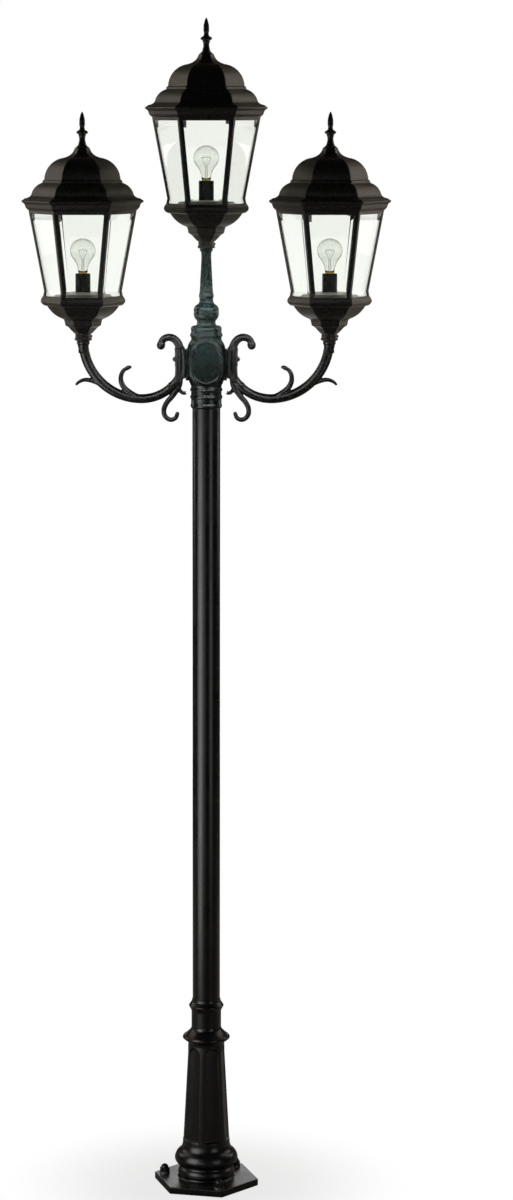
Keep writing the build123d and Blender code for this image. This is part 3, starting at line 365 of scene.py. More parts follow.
# Float glass is nearly flat, a blown globe a little wavy, and pressed lead glass dented
FINISH["clear_pane"] = glazing("bevelled float glass", "#fafcf8", 90, 0.01)
FINISH["lamp_glass"] = glazing("blown lamp glass", "#fcfdfb", 30, 0.02)
FINISH["filament_glass"] = glazing("pressed lead glass", "#f2f3ef", 6, 0.05)
print(len(FINISH), "finishes")

# %% Finishes on the CAD nodes
slots = {entry["node"]: entry["material_slot"] for entry in frame["record"]["subparts"]}
for name, thing in frame["nodes"].items():
    thing.data.materials.clear()
    thing.data.materials.append(FINISH[slots[name]])
# The nuts and the set screws were painted over with the castings that they hold
painted = {"anchor_nuts": "pole_black", "base_set_screws": "pole_black",
           "hub_set_screws": "hub_green_black", **{f"fitter_screws_{side}": "arm_black" for side in SEATS}}
for name, finish in painted.items():
    frame["nodes"][name].data.materials[0] = FINISH[finish]
print("finished", len(slots), "CAD nodes")

# %% [markdown]
# ## From outlines to skins
#
# Every casting here was a pattern first, and a pattern maker thinks in outlines: a line from the
# bottom up that is turned on a lathe, or planed round a hexagon. So an outline is a list of (radius,
# height) points in millimetres, with a third number where the run that ends there bows out. Loops of
# points follow it up, round or six-sided, and a skin of quads joins the loops. Sharp corners are cut
# back first, as a mould and a coat of paint round them.


# %% Outline helpers
def traced(outline, steps=7):
    """The outline's points, with each bowed run cut into short steps."""
    points = [Vector(outline[0][:2])]
    for target in outline[1:]:
        start, end = points[-1], Vector(target[:2])
        if len(target) == 3:
            along, bow = end - start, target[2]
            radius = (along.length ** 2 / 4 + bow ** 2) / (2 * bow)
            out = Vector((along.y, -along.x)).normalized()
            centre = (start + end) / 2 + out * (bow - radius)
            turn = 2 * math.asin(along.length / (2 * radius))
            points += [centre + Matrix.Rotation(turn * n / steps, 2) @ (start - centre)
                       for n in range(1, steps)]
        points.append(end)
    return points


SHARP = 0.26  # radians, about 15 degrees


def softened(points, cut=0.9, closed=False):
    """Each corner that turns by more than the sharp angle made into a small round."""
    result = []
    for index, corner in enumerate(points):
        back = points[index - 1] - corner
        on = points[(index + 1) % len(points)] - corner
        end = not closed and index in (0, len(points) - 1)
        if end or back.length < 1e-6 or on.length < 1e-6 or math.pi - back.angle(on) < SHARP:
            result.append(corner)
            continue
        reach = min(cut, back.length * 0.45, on.length * 0.45)
        first, last = corner + back.normalized() * reach, corner + on.normalized() * reach
        result += [first, (first + 2 * corner + last) / 4, last]
    return result


# %% Loop and skin helpers
def round_loop(radius, height, sides=72):
    """A circle of points."""
    angles = [2 * math.pi * n / sides for n in range(sides)]
    return [Vector((radius * math.cos(a), radius * math.sin(a), height)) for a in angles]


def hexagon_loop(radius, height, edge=1.6, steps=4):
    """A hexagon with a corner on +X and every 60 degrees on, each corner a small arc."""
    edge = min(edge, radius * 0.6)
    heart = radius - edge / math.cos(math.radians(30))
    loop = []
    for corner in range(6):
        for step in range(steps + 1):
            bearing, a = math.radians(60 * corner), math.radians(60 * corner + 60 * step / steps - 30)
            loop.append(Vector((heart * math.cos(bearing) + edge * math.cos(a),
                                heart * math.sin(bearing) + edge * math.sin(a), height)))
    return loop


def skin(mesh, loops, closed=False, capped=False):
    """Join the loops by quads; closed joins the last to the first, capped fills both ends."""
    rows = [[mesh.verts.new(point * MM) for point in loop] for loop in loops]
    for low, high in list(zip(rows, rows[1:])) + ([(rows[-1], rows[0])] if closed else []):
        for n in range(len(low)):
            m = (n + 1) % len(low)
            mesh.faces.new((low[n], low[m], high[m], high[n]))
    if capped:
        mesh.faces.new(rows[0][::-1])
        mesh.faces.new(rows[-1])
    return mesh


def mesh_data(name, mesh):
    """A finished mesh, shaded smooth."""
    bmesh.ops.recalc_face_normals(mesh, faces=mesh.faces)
    data = bpy.data.meshes.new(name)
    mesh.to_mesh(data)
    mesh.free()
    data.shade_smooth()
    return data


def set_piece(name, data, finish, body, place=(0, 0, 0), stands_for=(), weigh=True):
    """Put a mesh in place, riding on a body, in the finish of a slot."""
    made = bpy.data.objects.new(name, data)
    scene.collection.objects.link(made)
    made.location = Vector(place) * MM
    if not data.materials:
        data.materials.append(FINISH[finish])
    if weigh:
        # Flat faces keep a flat shade and the narrow rounds beside them take all the turn
        made.modifiers.new("even shade", "WEIGHTED_NORMAL").keep_sharp = True
    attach(made, body)
    if stands_for:
        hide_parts(*stands_for)


def set_on_lanterns(name, data, finish, body, stands_for=None, weigh=True):
    """The mesh once on each lantern, on its own body and in place of its own CAD node."""
    for side, seat in SEATS.items():
        nodes = [f"{stands_for}_{side}"] if stands_for else ()
        set_piece(f"{name}_{side}", data, finish, f"{body}_{side}", seat, nodes, weigh)


print("helpers ready")

# %% [markdown]
# ## Roofs
#
# Each roof is a thin six-sided casting: a flared eave, a cove, a bulging dome and a drawn-up neck. It
# could be a lathe form cut by six planes, but then its mitres are knife edges. Here hexagonal loops
# with round corners follow the outside up and the hollow inside down, so the shell has a real
# thickness and soft mitres that catch the light.

# %% Roofs
CAGE_TOP, FINIAL_FOOT, GAP = 353.0, 520.0, 0.2
roof_outside = traced([
    (148.5, CAGE_TOP + GAP), (152.5, 357.5), (154.5, 359.5), (157.5, 368.0), (162.0, 372.0, -0.8),
    (166.0, 376.0), (166.0, 378.5), (157.0, 384.5, -0.5), (141.0, 391.5, -1.5), (139.0, 395.0),
    (112.5, 425.0, 5.0), (108.0, 427.0), (107.0, 433.0, 1.0), (103.5, 435.0), (103.0, 442.0),
    (58.0, 492.0, 10.0), (44.0, 495.5, -0.5), (29.0, 504.5, -1.0), (20.5, FINIAL_FOOT, -1.0),
    (3.4, FINIAL_FOOT)])
roof_inside = traced([
    (139.0, CAGE_TOP + GAP), (139.0, 356.0), (148.0, 367.0), (153.0, 378.0), (136.0, 387.0),
    (106.0, 422.0, 5.0), (99.0, 433.0), (99.0, 442.0), (54.0, 487.0, 10.0), (38.0, 491.5),
    (12.0, 505.0, -3.0), (3.4, 506.0)])
roof_round = softened(roof_outside + roof_inside[::-1], closed=True)
roof_mesh = skin(bmesh.new(), [hexagon_loop(p.x, p.y, edge=2.4) for p in roof_round], closed=True)
roof_data = mesh_data("roof", roof_mesh)
set_on_lanterns("roof_casting", roof_data, "cast_black", "roof_cap", "roof")
print("roof", len(roof_data.vertices), "points")

# %% [markdown]
# ## Cages
#
# The cage is one casting too: a foot moulding, six bars that are angles of 120 degrees, and a top
# ring that the glass clips and the roof sit in. The ring and moulding are closed hexagonal skins, and
# one bar is drawn as a stack of angle sections that lean out, then turned six times.

# %% Cages
WINDOW_FOOT, WINDOW_TOP, LEDGE, WALL, BAR_FLANGE = 121.0, 344.0, 119.0, 3.0, 10.0
bar_outline = traced([(109.0, WINDOW_FOOT), (107.6, 127.0, -0.6), (106.0, 134.5), (147.0, CAGE_TOP)])


def bar_radius(height):
    """Radius of the cage's corner at a height."""
    for low, high in zip(bar_outline, bar_outline[1:]):
        if low.y <= height <= high.y:
            return low.x + (high.x - low.x) * (height - low.y) / (high.y - low.y)


def bar_section(height, edge=1.2):
    """The angle section of the bar on +X: flanges along both neighbouring faces."""
    outer = bar_radius(height)
    depth = WALL / math.cos(math.radians(30))
    half = []
    for reach, inset in ((0.35, 0.0), (BAR_FLANGE - edge, 0.0), (BAR_FLANGE, edge),
                         (BAR_FLANGE, WALL - edge), (BAR_FLANGE - edge, WALL), (1.2, WALL)):
        start = Vector((outer - (depth * inset / WALL), 0.0))
        half.append(start + Vector((-math.cos(math.radians(60)), math.sin(math.radians(60)))) * reach)
    return [Vector((p.x, p.y, height)) for p in half] + [Vector((p.x, -p.y, height)) for p in reversed(half)]


cage_mesh = bmesh.new()
bar_heights = [WINDOW_FOOT, 123.0, 125.0, 127.0, 131.0, 134.5, 150.0, 220.0, 300.0, WINDOW_TOP]
for corner in range(6):
    turn = Matrix.Rotation(math.radians(60 * corner), 3, "Z")
    skin(cage_mesh, [[turn @ p for p in bar_section(height)] for height in bar_heights], capped=True)
foot_ring = traced([
    (92.0, 94.0), (98.0, 94.0), (112.5, 101.0, 2.0), (115.2, 104.5), (115.2, 110.5), (112.6, 115.5),
    (109.0, WINDOW_FOOT), (103.6, WINDOW_FOOT), (99.6, LEDGE), (92.0, LEDGE)])
top_ring = traced([
    (131.0, WINDOW_TOP), (bar_radius(WINDOW_TOP), WINDOW_TOP), (147.0, CAGE_TOP), (139.0, CAGE_TOP),
    (139.0, 349.0), (131.0, 349.0)])
for ring, cut in ((foot_ring, 0.9), (top_ring, 0.5)):
    skin(cage_mesh, [hexagon_loop(p.x, p.y) for p in softened(ring, cut, closed=True)], closed=True)
cage_data = mesh_data("cage", cage_mesh)
set_on_lanterns("cage_casting", cage_data, "cast_black", "lantern", "cage")
print("cage", len(cage_data.vertices), "points")

# %% [markdown]
# ## Cups, collars and finials
#
# Below the cage hangs a six-sided cup with a round collar, and on top stands a turned finial. Cup and
# collar are one casting: a hexagonal skin and a round one that meet inside the metal. The finial is
# turned from bar, so its skin is round loops alone.

# %% Cups and collars
cup_outside = traced([
    (24.5, 19.0), (28.0, 23.0), (34.0, 29.0), (45.5, 39.0, -1.0), (49.0, 43.0, 0.6), (50.5, 50.0),
    (52.0, 56.0), (55.5, 58.5), (98.0, 94.0, 5.0), (92.0, 94.0)])
cup_inside = traced([(5.05, 19.0), (5.05, 26.0), (28.0, 30.0), (42.0, 43.0), (46.5, 58.0), (90.0, 94.0, 6.0)])
collar = traced([
    (16.05, 0.2), (22.2, 0.2), (23.0, 1.0), (23.0, 6.0, 0.8), (21.8, 8.0), (21.8, 15.0), (24.0, 24.0, -0.8),
    (10.0, 24.0), (10.0, 18.5), (16.05, 18.5)])
cup_mesh = bmesh.new()
cup_round = softened(cup_outside + cup_inside[::-1], closed=True)
skin(cup_mesh, [hexagon_loop(p.x, p.y) for p in cup_round], closed=True)
skin(cup_mesh, [round_loop(p.x, p.y) for p in softened(collar, 0.6, closed=True)], closed=True)
cup_data = mesh_data("cup", cup_mesh)
set_on_lanterns("cup_casting", cup_data, "cast_black", "lantern", "cup")
print("cup", len(cup_data.vertices), "points")

# %% Finials
finial_outline = traced([
    (3.1, FINIAL_FOOT + GAP), (18.0, FINIAL_FOOT + GAP), (18.0, 522.0), (10.0, 533.0, -2.0), (8.2, 540.0),
    (8.2, 548.0), (10.0, 552.5), (10.0, 555.5), (14.4, 558.5), (14.4, 564.0, 1.5), (10.0, 567.0),
    (7.2, 571.0, -1.0), (6.2, 575.0), (7.6, 588.0, 0.8), (6.0, 602.0, 0.8), (1.0, 616.2, 0.8), (0.05, 616.9)])
finial_mesh = skin(bmesh.new(), [round_loop(p.x, p.y, 48) for p in softened(finial_outline, 0.7)])
finial_data = mesh_data("finial", finial_mesh)
set_on_lanterns("finial_turning", finial_data, "cast_black", "finial_knob", "finial")
print("finial", len(finial_data.vertices), "points")

# %% [markdown]
# ## Pans
#
# The lantern's floor is a shallow dish of spun aluminium around the lamp socket: a flat rim that rests
# on the cage's ledge, a quick rise, and a slow one to the middle, so that water runs off. It is turned
# on a lathe like the finial, and shows from outside as a pale ellipse behind the sill.

# %% Pans
pan_outline = traced([
    (5.1, 119.2), (82.0, 119.2), (82.0, 121.0), (79.0, 121.6), (74.0, 126.5, -0.6), (70.0, 128.3, 0.4),
    (24.0, 132.0, 0.8), (22.0, 131.6), (21.2, 121.0), (5.1, 121.0)])
pan_loops = [round_loop(p.x, p.y) for p in softened(pan_outline, 0.4, closed=True)]
pan_data = mesh_data("pan", skin(bmesh.new(), pan_loops, closed=True))
set_on_lanterns("pan_dish", pan_data, "pan_grey", "lantern", "pan")
print("pan", len(pan_data.vertices), "points")

# %% [markdown]
# ## Arms
#
# The arm is one casting of many limbs: a hollow main arm that swings down from the lantern and up to
# the hub, a scroll with a ball, a hook, tendrils and leaves, all growing out of a bundle of ribs
# that is bolted to the hub. A modeller would build the pattern from tapered rolls of clay and smooth
# their joints with a thumb. The code does the same: each limb is a tapered sweep along a smooth line,
# the Remesh modifier melts the limbs into one skin, and a Smooth modifier draws the joints over.


# %% Limb helpers
def smooth_line(points, steps=7):
    """A Catmull-Rom line through (x, z) points in the arm's plane."""
    line = [Vector(p) for p in points]
    ends = [2 * line[0] - line[1], *line, 2 * line[-1] - line[-2]]
    result = []
    for a, b, c, d in zip(ends, ends[1:], ends[2:], ends[3:]):
        for n in range(steps):
            t = n / steps
            square, cube = 2 * a - 5 * b + 4 * c - d, 3 * b - a - 3 * c + d
            result.append(0.5 * (2 * b + (c - a) * t + square * t ** 2 + cube * t ** 3))
    return [*result, line[-1]]


def limb(mesh, line, root, tip, deep=1.0, sides=16):
    """A sweep along the line, tapered from root to tip radius and round at both ends.

    deep stretches it across the arm's plane, for ribs that are deeper than they are wide.
    """
    loops = []
    count = len(line) - 1
    cap = (0.15, 0.5, 0.9, 1.3)  # angles up the round end
    for n, point in enumerate(line):
        along = (line[min(n + 1, count)] - line[max(n - 1, 0)]).normalized()
        width = root + (tip - root) * n / count
        shifts = [(0.0, width)]
        if n == 0:
            shifts = [(-width * math.cos(a), width * math.sin(a)) for a in cap] + shifts
        if n == count:
            shifts += [(width * math.cos(a), width * math.sin(a)) for a in cap[::-1]]
        for shift, size in shifts:
            heart = point + along * shift
            across = Vector((-along.y, along.x))
            loops.append([
                Vector((heart.x + across.x * size * math.cos(a), size * deep * math.sin(a),
                        heart.y + across.y * size * math.cos(a)))
                for a in (2 * math.pi * k / sides for k in range(sides))])
    skin(mesh, loops, capped=True)


def melted(name, mesh, voxel_mm, passes):
    """The mesh's closed bodies fused into one smooth skin."""
    rough = bpy.data.objects.new(name, mesh_data(name, mesh))
    scene.collection.objects.link(rough)
    fuse = rough.modifiers.new("fuse", "REMESH")
    fuse.mode, fuse.voxel_size = "VOXEL", voxel_mm * MM
    rub = rough.modifiers.new("rub", "SMOOTH")
    rub.factor, rub.iterations = 0.5, passes
    done = bpy.data.meshes.new_from_object(rough.evaluated_get(bpy.context.evaluated_depsgraph_get()))
    bpy.data.objects.remove(rough)
    done.materials.clear()
    done.shade_smooth()
    done.name = name
    return done


# %% The arm's limbs
REACH, SIDE_SEAT = 335.0, 2375.0
ARM_TUBE, ARM_HEART, ARM_SWING, ARM_RETURN = 11.5, 176.0, 159.0, 118.0
BOSS_FACE = 86.0
arm_mesh = bmesh.new()
# The main arm: a quarter turn down from the seat and a smaller turn back up towards the hub. It grows
# from 0.6 mm over the CAD's tube at the hub to 2.3 mm over it at the lantern, as the photograph shows.
swing = [Vector((ARM_HEART + ARM_SWING * math.cos(a), SIDE_SEAT - ARM_SWING * math.sin(a)))
         for a in (math.radians(3 * n) for n in range(0, 31))]
lift = [Vector((ARM_HEART - ARM_RETURN * math.sin(a),
                SIDE_SEAT - ARM_SWING + ARM_RETURN * (1 - math.cos(a))))
        for a in (math.radians(4 * n) for n in range(1, 16))]
limb(arm_mesh, swing + lift, ARM_TUBE + 2.3, ARM_TUBE + 0.6, sides=24)
# The scroll beside the hub, and its ball
limb(arm_mesh, smooth_line([
    (72, 2310), (71.5, 2330), (71.5, 2349), (76.5, 2366), (86, 2378), (98.9, 2383.3), (112, 2381),
    (120.7, 2373), (123.5, 2362.5)]), 12.5, 9.2)
limb(arm_mesh, smooth_line([(123.5, 2361), (123.5, 2362.5), (123, 2364)]), 11.6, 11.6)
# The hook that stands in the arm's bend, and the bud at its end
limb(arm_mesh, smooth_line([
    (166, 2217), (187, 2220), (207, 2231), (223.5, 2245.5), (232, 2262), (232.4, 2278.3),
    (226.5, 2292), (214.7, 2300.5)]), 10.0, 5.0, deep=1.15)
limb(arm_mesh, smooth_line([(214.5, 2300.0), (210.5, 2302.0), (207.5, 2302.2)]), 6.2, 4.4)
# The tendril that runs out below the lantern, and the two that hang beside the hub
limb(arm_mesh, smooth_line([
    (246, 2232), (268, 2243), (295, 2259.2), (316.9, 2266.5), (333.3, 2267.4), (346.9, 2262),
    (354, 2255.5)]), 9.0, 3.6, deep=1.3)
limb(arm_mesh, smooth_line([
    (70, 2272), (74.5, 2250), (70.3, 2236.5), (60.8, 2231), (52.5, 2234.5)]), 6.0, 4.6)
limb(arm_mesh, smooth_line([
    (72, 2266), (74, 2253), (82.5, 2237.4), (94.5, 2221), (107, 2206.5), (115, 2190), (115, 2174),
    (107, 2162.4), (95, 2158.3), (83.6, 2163.8), (79, 2174.7)]), 8.4, 5.8, deep=1.1)
# A pointed leaf lies on the arm at the root of each hook and tendril
for foot, bend, point in (((206, 2217), (180, 2211), (150, 2214)), ((262, 2241), (240, 2226), (214, 2216)),
                          ((96, 2254), (116, 2236), (140, 2224))):
    limb(arm_mesh, smooth_line([foot, bend, point]), 8.6, 2.2, deep=1.5)
# The bundle of ribs that carries the bolts, drawn in towards the main arm
for top, low, width, deep in ((63.0, 66.0, 6.6, 2.6), (71.5, 73.0, 6.8, 2.75), (79.2, 80.0, 6.4, 2.3)):
    rib = smooth_line([(top + 1, 2352), (top, 2335), (top, 2300), (low + 1, 2276), (low + 4, 2264)])
    limb(arm_mesh, rib, width, width * 0.75, deep=deep)
# A knob between the bolts, and the flat root that lies on the hub's pad
limb(arm_mesh, smooth_line([(BOSS_FACE - 1.5, 2323), (BOSS_FACE, 2324), (BOSS_FACE - 1.5, 2325)]), 6.4, 6.4)
limb(arm_mesh, smooth_line([(60.0, 2276), (59.6, 2310), (60.0, 2346)]), 5.2, 5.2, deep=3.2)
VOXEL, RUBS = 1.15, 4
arm_data = melted("arm", arm_mesh, VOXEL, RUBS)
print("arm skin", len(arm_data.vertices), "points")

# %% [markdown]
# ## The arm's machined places
#
# A workshop turns the lantern's seat, drills the cable bore and bolt holes and mills the back flat.
# The Boolean modifier does this to the melted skin and leaves crisp edges. The left arm is the right
# one mirrored.


# %% Seats, bolt pockets and bore
def turned_blank(name, outline, place, axis="Z"):
    """A closed round body for adding to or cutting from another, linked for the moment."""
    loops = [round_loop(p.x, p.y, 40) for p in traced(outline)]
    blank = bpy.data.objects.new(name, mesh_data(name, skin(bmesh.new(), loops, capped=True)))
    scene.collection.objects.link(blank)
    spin = Matrix.Rotation(math.radians(90), 4, "Y") if axis == "X" else Matrix.Identity(4)
    blank.matrix_world = Matrix.Translation(Vector(place) * MM) @ spin
    return blank


def combined(data, additions, cuts):
    """The mesh with bodies joined to it and others cut out of it."""
    block = bpy.data.objects.new(data.name, data)
    scene.collection.objects.link(block)
    for other, deed in [(a, "UNION") for a in additions] + [(c, "DIFFERENCE") for c in cuts]:
        step = block.modifiers.new(other.name, "BOOLEAN")
        step.object, step.operation, step.solver = other, deed, "EXACT"
    bpy.context.view_layer.update()
    done = bpy.data.meshes.new_from_object(block.evaluated_get(bpy.context.evaluated_depsgraph_get()))
    for helper in (block, *additions, *cuts):
        bpy.data.objects.remove(helper)
    done.materials.clear()
    done.name = data.name
    done.shade_smooth()
    return done


seat_outline = [
    (13.3, -34.0), (13.5, -24.0), (15.0, -16.5, -0.6), (17.5, -9.0, -1.0), (17.5, -0.4), (17.1, 0.0),
    (16.0, 0.0), (16.0, 17.4), (15.4, 18.0)]
pocket_outline = [(4.4, -45.0), (4.4, -8.0), (6.9, -8.0), (6.9, 12.0)]
spigot = turned_blank("seat", seat_outline, (REACH, 0, SIDE_SEAT))
cuts = [turned_blank("bore", [(6.5, -8.0), (6.5, 20.0)], (REACH, 0, SIDE_SEAT))]
for height in (2311.0, 2337.0):
    cuts.append(turned_blank("pocket", pocket_outline, (BOSS_FACE, 0, height), "X"))
cuts.append(turned_blank("back", [(80.0, 0.0), (80.0, 30.0)], (26.0, 0, 2310), "X"))
arm_right = combined(arm_data, [spigot], cuts)
arm_left = arm_right.copy()
arm_left.transform(Matrix.Scale(-1, 4, (1, 0, 0)))
arm_left.flip_normals()
for side, data in (("left", arm_left), ("right", arm_right)):
    data.materials.append(FINISH["arm_black"])
    set_piece(f"arm_casting_{side}", data, "cast_black", "root", stands_for=[f"arm_{side}"], weigh=False)
print("arm with pockets", len(arm_right.vertices), "points")

# %% [markdown]
# ## Hub
#
# The hub is a fat sleeve with turned rings above and below and a plain oval panel in a raised frame on
# the front and the back. The rings are turned. The panel is built up like a coin: a stack of ovals
# that narrows to the frame's crown, drops into the sunk field and closes. It is let into the sleeve,
# so only its rim and face show.


# %% Hub
OVAL_WIDTH, OVAL_HEIGHT, OVAL_CENTRE = 92.0, 127.0, 2316.0


def oval_loop(width, height, level, steps=14):
    """A slot-shaped oval standing in X and Z, that far in front along Y."""
    half, rise = width / 2, (height - width) / 2
    loop = []
    for end, start in ((rise, 0), (-rise, 180)):
        for n in range(steps + 1):
            a = math.radians(start + 180 * n / steps)
            loop.append(Vector((half * math.cos(a), level, OVAL_CENTRE + end + half * math.sin(a))))
    return loop


hub_outline = traced([
    (38.15, 2205.0), (38.15, 2190.0), (39.8, 2190.0), (41.6, 2193.0), (42.8, 2200.0, 0.8),
    (41.6, 2204.0), (41.6, 2213.0), (42.4, 2216.5), (42.4, 2225.5, 2.0), (41.6, 2228.0), (41.6, 2235.0),
    (42.4, 2237.0), (42.4, 2245.5, 2.0), (41.6, 2248.0), (42.2, 2253.0), (51.0, 2290.0, 2.6),
    (51.0, 2342.0, 1.5), (43.0, 2374.0, 4.0), (41.4, 2377.0), (41.4, 2383.0), (42.6, 2385.5),
    (42.6, 2394.0, 1.8), (41.4, 2396.5), (41.4, 2403.0), (42.0, 2405.0), (36.0, 2415.0, 2.0),
    (20.0, 2415.0)])
hub_mesh = skin(bmesh.new(), [round_loop(p.x, p.y, 96) for p in softened(hub_outline, 0.7)])
medallion = softened(traced([
    (0.0, 40.0), (0.0, 53.5), (7.0, 60.0, 2.0), (13.8, 56.2, 1.6), (15.0, 56.0), (40.0, 56.8)]), 0.6)
for facing in (-1, 1):
    loops = [oval_loop(OVAL_WIDTH - 2 * p.x, OVAL_HEIGHT - 2 * p.x, facing * p.y) for p in medallion]
    skin(hub_mesh, loops, capped=True)
# A flat pad on each side takes the arm's root
pad_outline = [(18, 2270), (18, 2349), (15, 2352), (-15, 2352), (-18, 2349), (-18, 2270), (-15, 2267),
               (15, 2267)]
for way in (-1, 1):
    pad = [[Vector((way * x, y, z)) for y, z in pad_outline] for x in (30.0, 55.2, 56.0)]
    skin(hub_mesh, pad, capped=True)
hub_data = mesh_data("hub", hub_mesh)
set_piece("hub_sleeve", hub_data, "hub_green_black", "root", stands_for=["hub_casting"])
print("hub", len(hub_data.vertices), "points")

# %% [markdown]
# ## Stem
#
# The stem is a baluster: a ball, a turned neck and a tapering shaft with ten flutes under the top
# lantern's seat. A lathe skin gets its flutes by drawing each loop in where a flute passes, deepest at
# the middle and fading out at both ends.

# %% Stem
FLUTES, FLUTE_DEPTH, FLUTE_LOW, FLUTE_HIGH, FLUTE_FADE = 10, 2.2, 2510.0, 2600.0, 8.0
BORE_LIMIT = 12.0  # smaller loops are the bore, which has no flutes
LOOP_GAP = 5.0
stem_outline = traced([
    (31.4, 2415.0), (25.5, 2421.0, -1.5), (24.9, 2426.0), (26.0, 2430.0), (33.6, 2453.0, 3.5),
    (26.0, 2472.0, 3.5), (18.6, 2484.0, -2.0), (18.6, 2490.0), (19.0, 2502.0, 1.4), (18.4, 2505.0),
    (13.3, 2606.0), (14.0, 2611.0), (17.5, 2618.0, -1.5), (17.5, 2625.0), (16.0, 2625.0),
    (16.0, 2643.0), (6.5, 2643.0), (6.5, 2600.0)])
stem_points = []
for p in softened(stem_outline, 0.7):
    last = stem_points[-1] if stem_points else p
    rungs = max(1, math.ceil(abs(p.y - last.y) / LOOP_GAP))
    stem_points += [last.lerp(p, (n + 1) / rungs) for n in range(rungs)]


def fluted_loop(radius, height, sides=120):
    """A circle drawn in where the flutes pass."""
    loop = round_loop(radius, height, sides)
    if FLUTE_LOW < height < FLUTE_HIGH and radius > BORE_LIMIT:
        fade = min(1.0, (height - FLUTE_LOW) / FLUTE_FADE, (FLUTE_HIGH - height) / FLUTE_FADE) ** 0.5
        for point in loop:
            wave = max(0.0, math.cos(FLUTES * math.atan2(point.y, point.x)) + 0.15) / 1.15
            point.xy *= 1.0 - FLUTE_DEPTH * fade * wave ** 0.6 / radius
    return loop


stem_data = mesh_data("stem", skin(bmesh.new(), [fluted_loop(p.x, p.y) for p in stem_points]))
set_piece("stem_baluster", stem_data, "hub_green_black", "root", stands_for=["stem"])
print("stem", len(stem_data.vertices), "points")

# %% [markdown]
# ## Foot
#
# The foot is a hexagonal flange, a bold moulding and a column with six long round-headed panels, then
# a collar and a torus under the pole. The flange is a hexagonal skin. The rest is one lathe skin on a
# fine grid, in which every point that falls inside a panel's window is moved in to the panel's flat.

# %% Foot
FLANGE_TURN, PANEL_SPREAD = -13.0, 24.0
COLUMN_FOOT, COLUMN_FOOT_RADIUS, COLUMN_HEAD, COLUMN_HEAD_RADIUS = 116.0, 66.2, 402.0, 50.6
PANEL_FOOT, PANEL_SPRING, PANEL_HALF_FOOT, PANEL_HALF_TOP, PANEL_DEPTH = 130.0, 376.0, 26.0, 20.6, 2.6
PANEL_EDGE, PANEL_BOW = 1.2, 600.0  # the slope's width, and how flat the panel's floor is
COLUMN_GAP = 1.6  # between the column's loops, fine enough for round panel heads
foot_outline = softened(traced([
    (86.0, 12.0), (86.0, 19.0), (77.0, 25.0, -2.5), (72.0, 50.0, 4.5), (71.0, 54.0), (80.0, 58.0),
    (88.6, 75.0, 2.5), (79.0, 95.0, 1.8), (70.0, 104.5, -1.0), (66.8, 113.0, -0.3),
    (COLUMN_FOOT_RADIUS, COLUMN_FOOT), (COLUMN_HEAD_RADIUS, COLUMN_HEAD), (51.0, 407.0),
    (61.0, 416.5, -1.5), (64.8, 420.0), (64.8, 426.0, 1.2), (64.0, 428.0), (45.0, 444.0, -1.0),
    (41.4, 454.0, -0.8), (41.4, 497.0), (44.0, 504.5, -0.6), (47.5, 511.5), (47.5, 516.0, 1.0),
    (43.0, 523.0), (40.4, 526.0), (39.8, 533.0), (38.15, 533.0), (38.15, 520.0)]), 0.9)
foot_points = []
for p in foot_outline:
    last = foot_points[-1] if foot_points else p
    rungs = max(1, math.ceil(abs(p.y - last.y) / COLUMN_GAP)) if 120 < p.y < 405 else 1
    foot_points += [last.lerp(p, (n + 1) / rungs) for n in range(rungs)]


def window_edge(across, height):
    """How far a point lies inside a panel's round-headed window, in mm."""
    rise = (height - PANEL_FOOT) / (PANEL_SPRING - PANEL_FOOT)
    half = PANEL_HALF_FOOT + (PANEL_HALF_TOP - PANEL_HALF_FOOT) * rise
    if height > PANEL_SPRING:
        return PANEL_HALF_TOP - math.hypot(across, height - PANEL_SPRING)
    return min(half - abs(across), height - PANEL_FOOT)


def panelled_loop(radius, height, sides=480):
    """A circle whose parts inside the six windows lie on the panels' flats."""
    loop = round_loop(radius, height, sides)
    if not PANEL_FOOT < height < PANEL_SPRING + PANEL_HALF_TOP:
        return loop
    flat = radius * math.cos(math.radians(PANEL_SPREAD)) - PANEL_DEPTH
    for point in loop:
        bearing = (math.degrees(math.atan2(point.y, point.x)) - FLANGE_TURN + 30) % 60 - 30
        across = radius * math.sin(math.radians(bearing))
        inside = window_edge(across, height)
        if inside > 0:
            out = radius * math.cos(math.radians(bearing))
            sink = min(1.0, inside / PANEL_EDGE)
            sink = sink * sink * (3 - 2 * sink)
            wanted = math.hypot(out + (flat + across ** 2 / PANEL_BOW - out) * sink, across)
            point.xy *= wanted / radius
    return loop


foot_mesh = skin(bmesh.new(), [panelled_loop(p.x, p.y) for p in foot_points])
turn = Matrix.Rotation(math.radians(FLANGE_TURN), 3, "Z")
flange = softened(traced([
    (62.0, 0.0), (149.0, 0.0), (150.0, 1.0), (150.0, 16.6), (148.0, 19.0, 0.5), (70.0, 19.6)]), 0.8)
skin(foot_mesh, [[turn @ p for p in hexagon_loop(q.x, q.y, edge=6.0, steps=6)] for q in flange])
foot_data = mesh_data("foot", foot_mesh)
set_piece("foot_casting", foot_data, "pole_black", "root", stands_for=["base_casting"])
print("foot", len(foot_data.vertices), "points")

# %% [markdown]
# ## Lamps
#
# Each lantern holds a clear lamp on a medium screw base. Its brass shell is rolled to a real thread,
# which is a lathe skin whose radius waves once per turn and once per pitch. Inside stand the pressed
# glass mount, two stout lead wires and two hooks, and the filament, a coil drawn as one fine tube.


# %% Lamp helpers
def wire(mesh, line, radius, sides=8):
    """A round wire along a line of points in space."""
    loops = []
    for n, point in enumerate(line):
        along = (line[min(n + 1, len(line) - 1)] - line[max(n - 1, 0)]).normalized()
        side = along.cross(Vector((0.31, 0.95, 0.02))).normalized()
        up = along.cross(side)
        loops.append([point + (side * math.cos(a) + up * math.sin(a)) * radius
                      for a in (2 * math.pi * k / sides for k in range(sides))])
    skin(mesh, loops, capped=True)


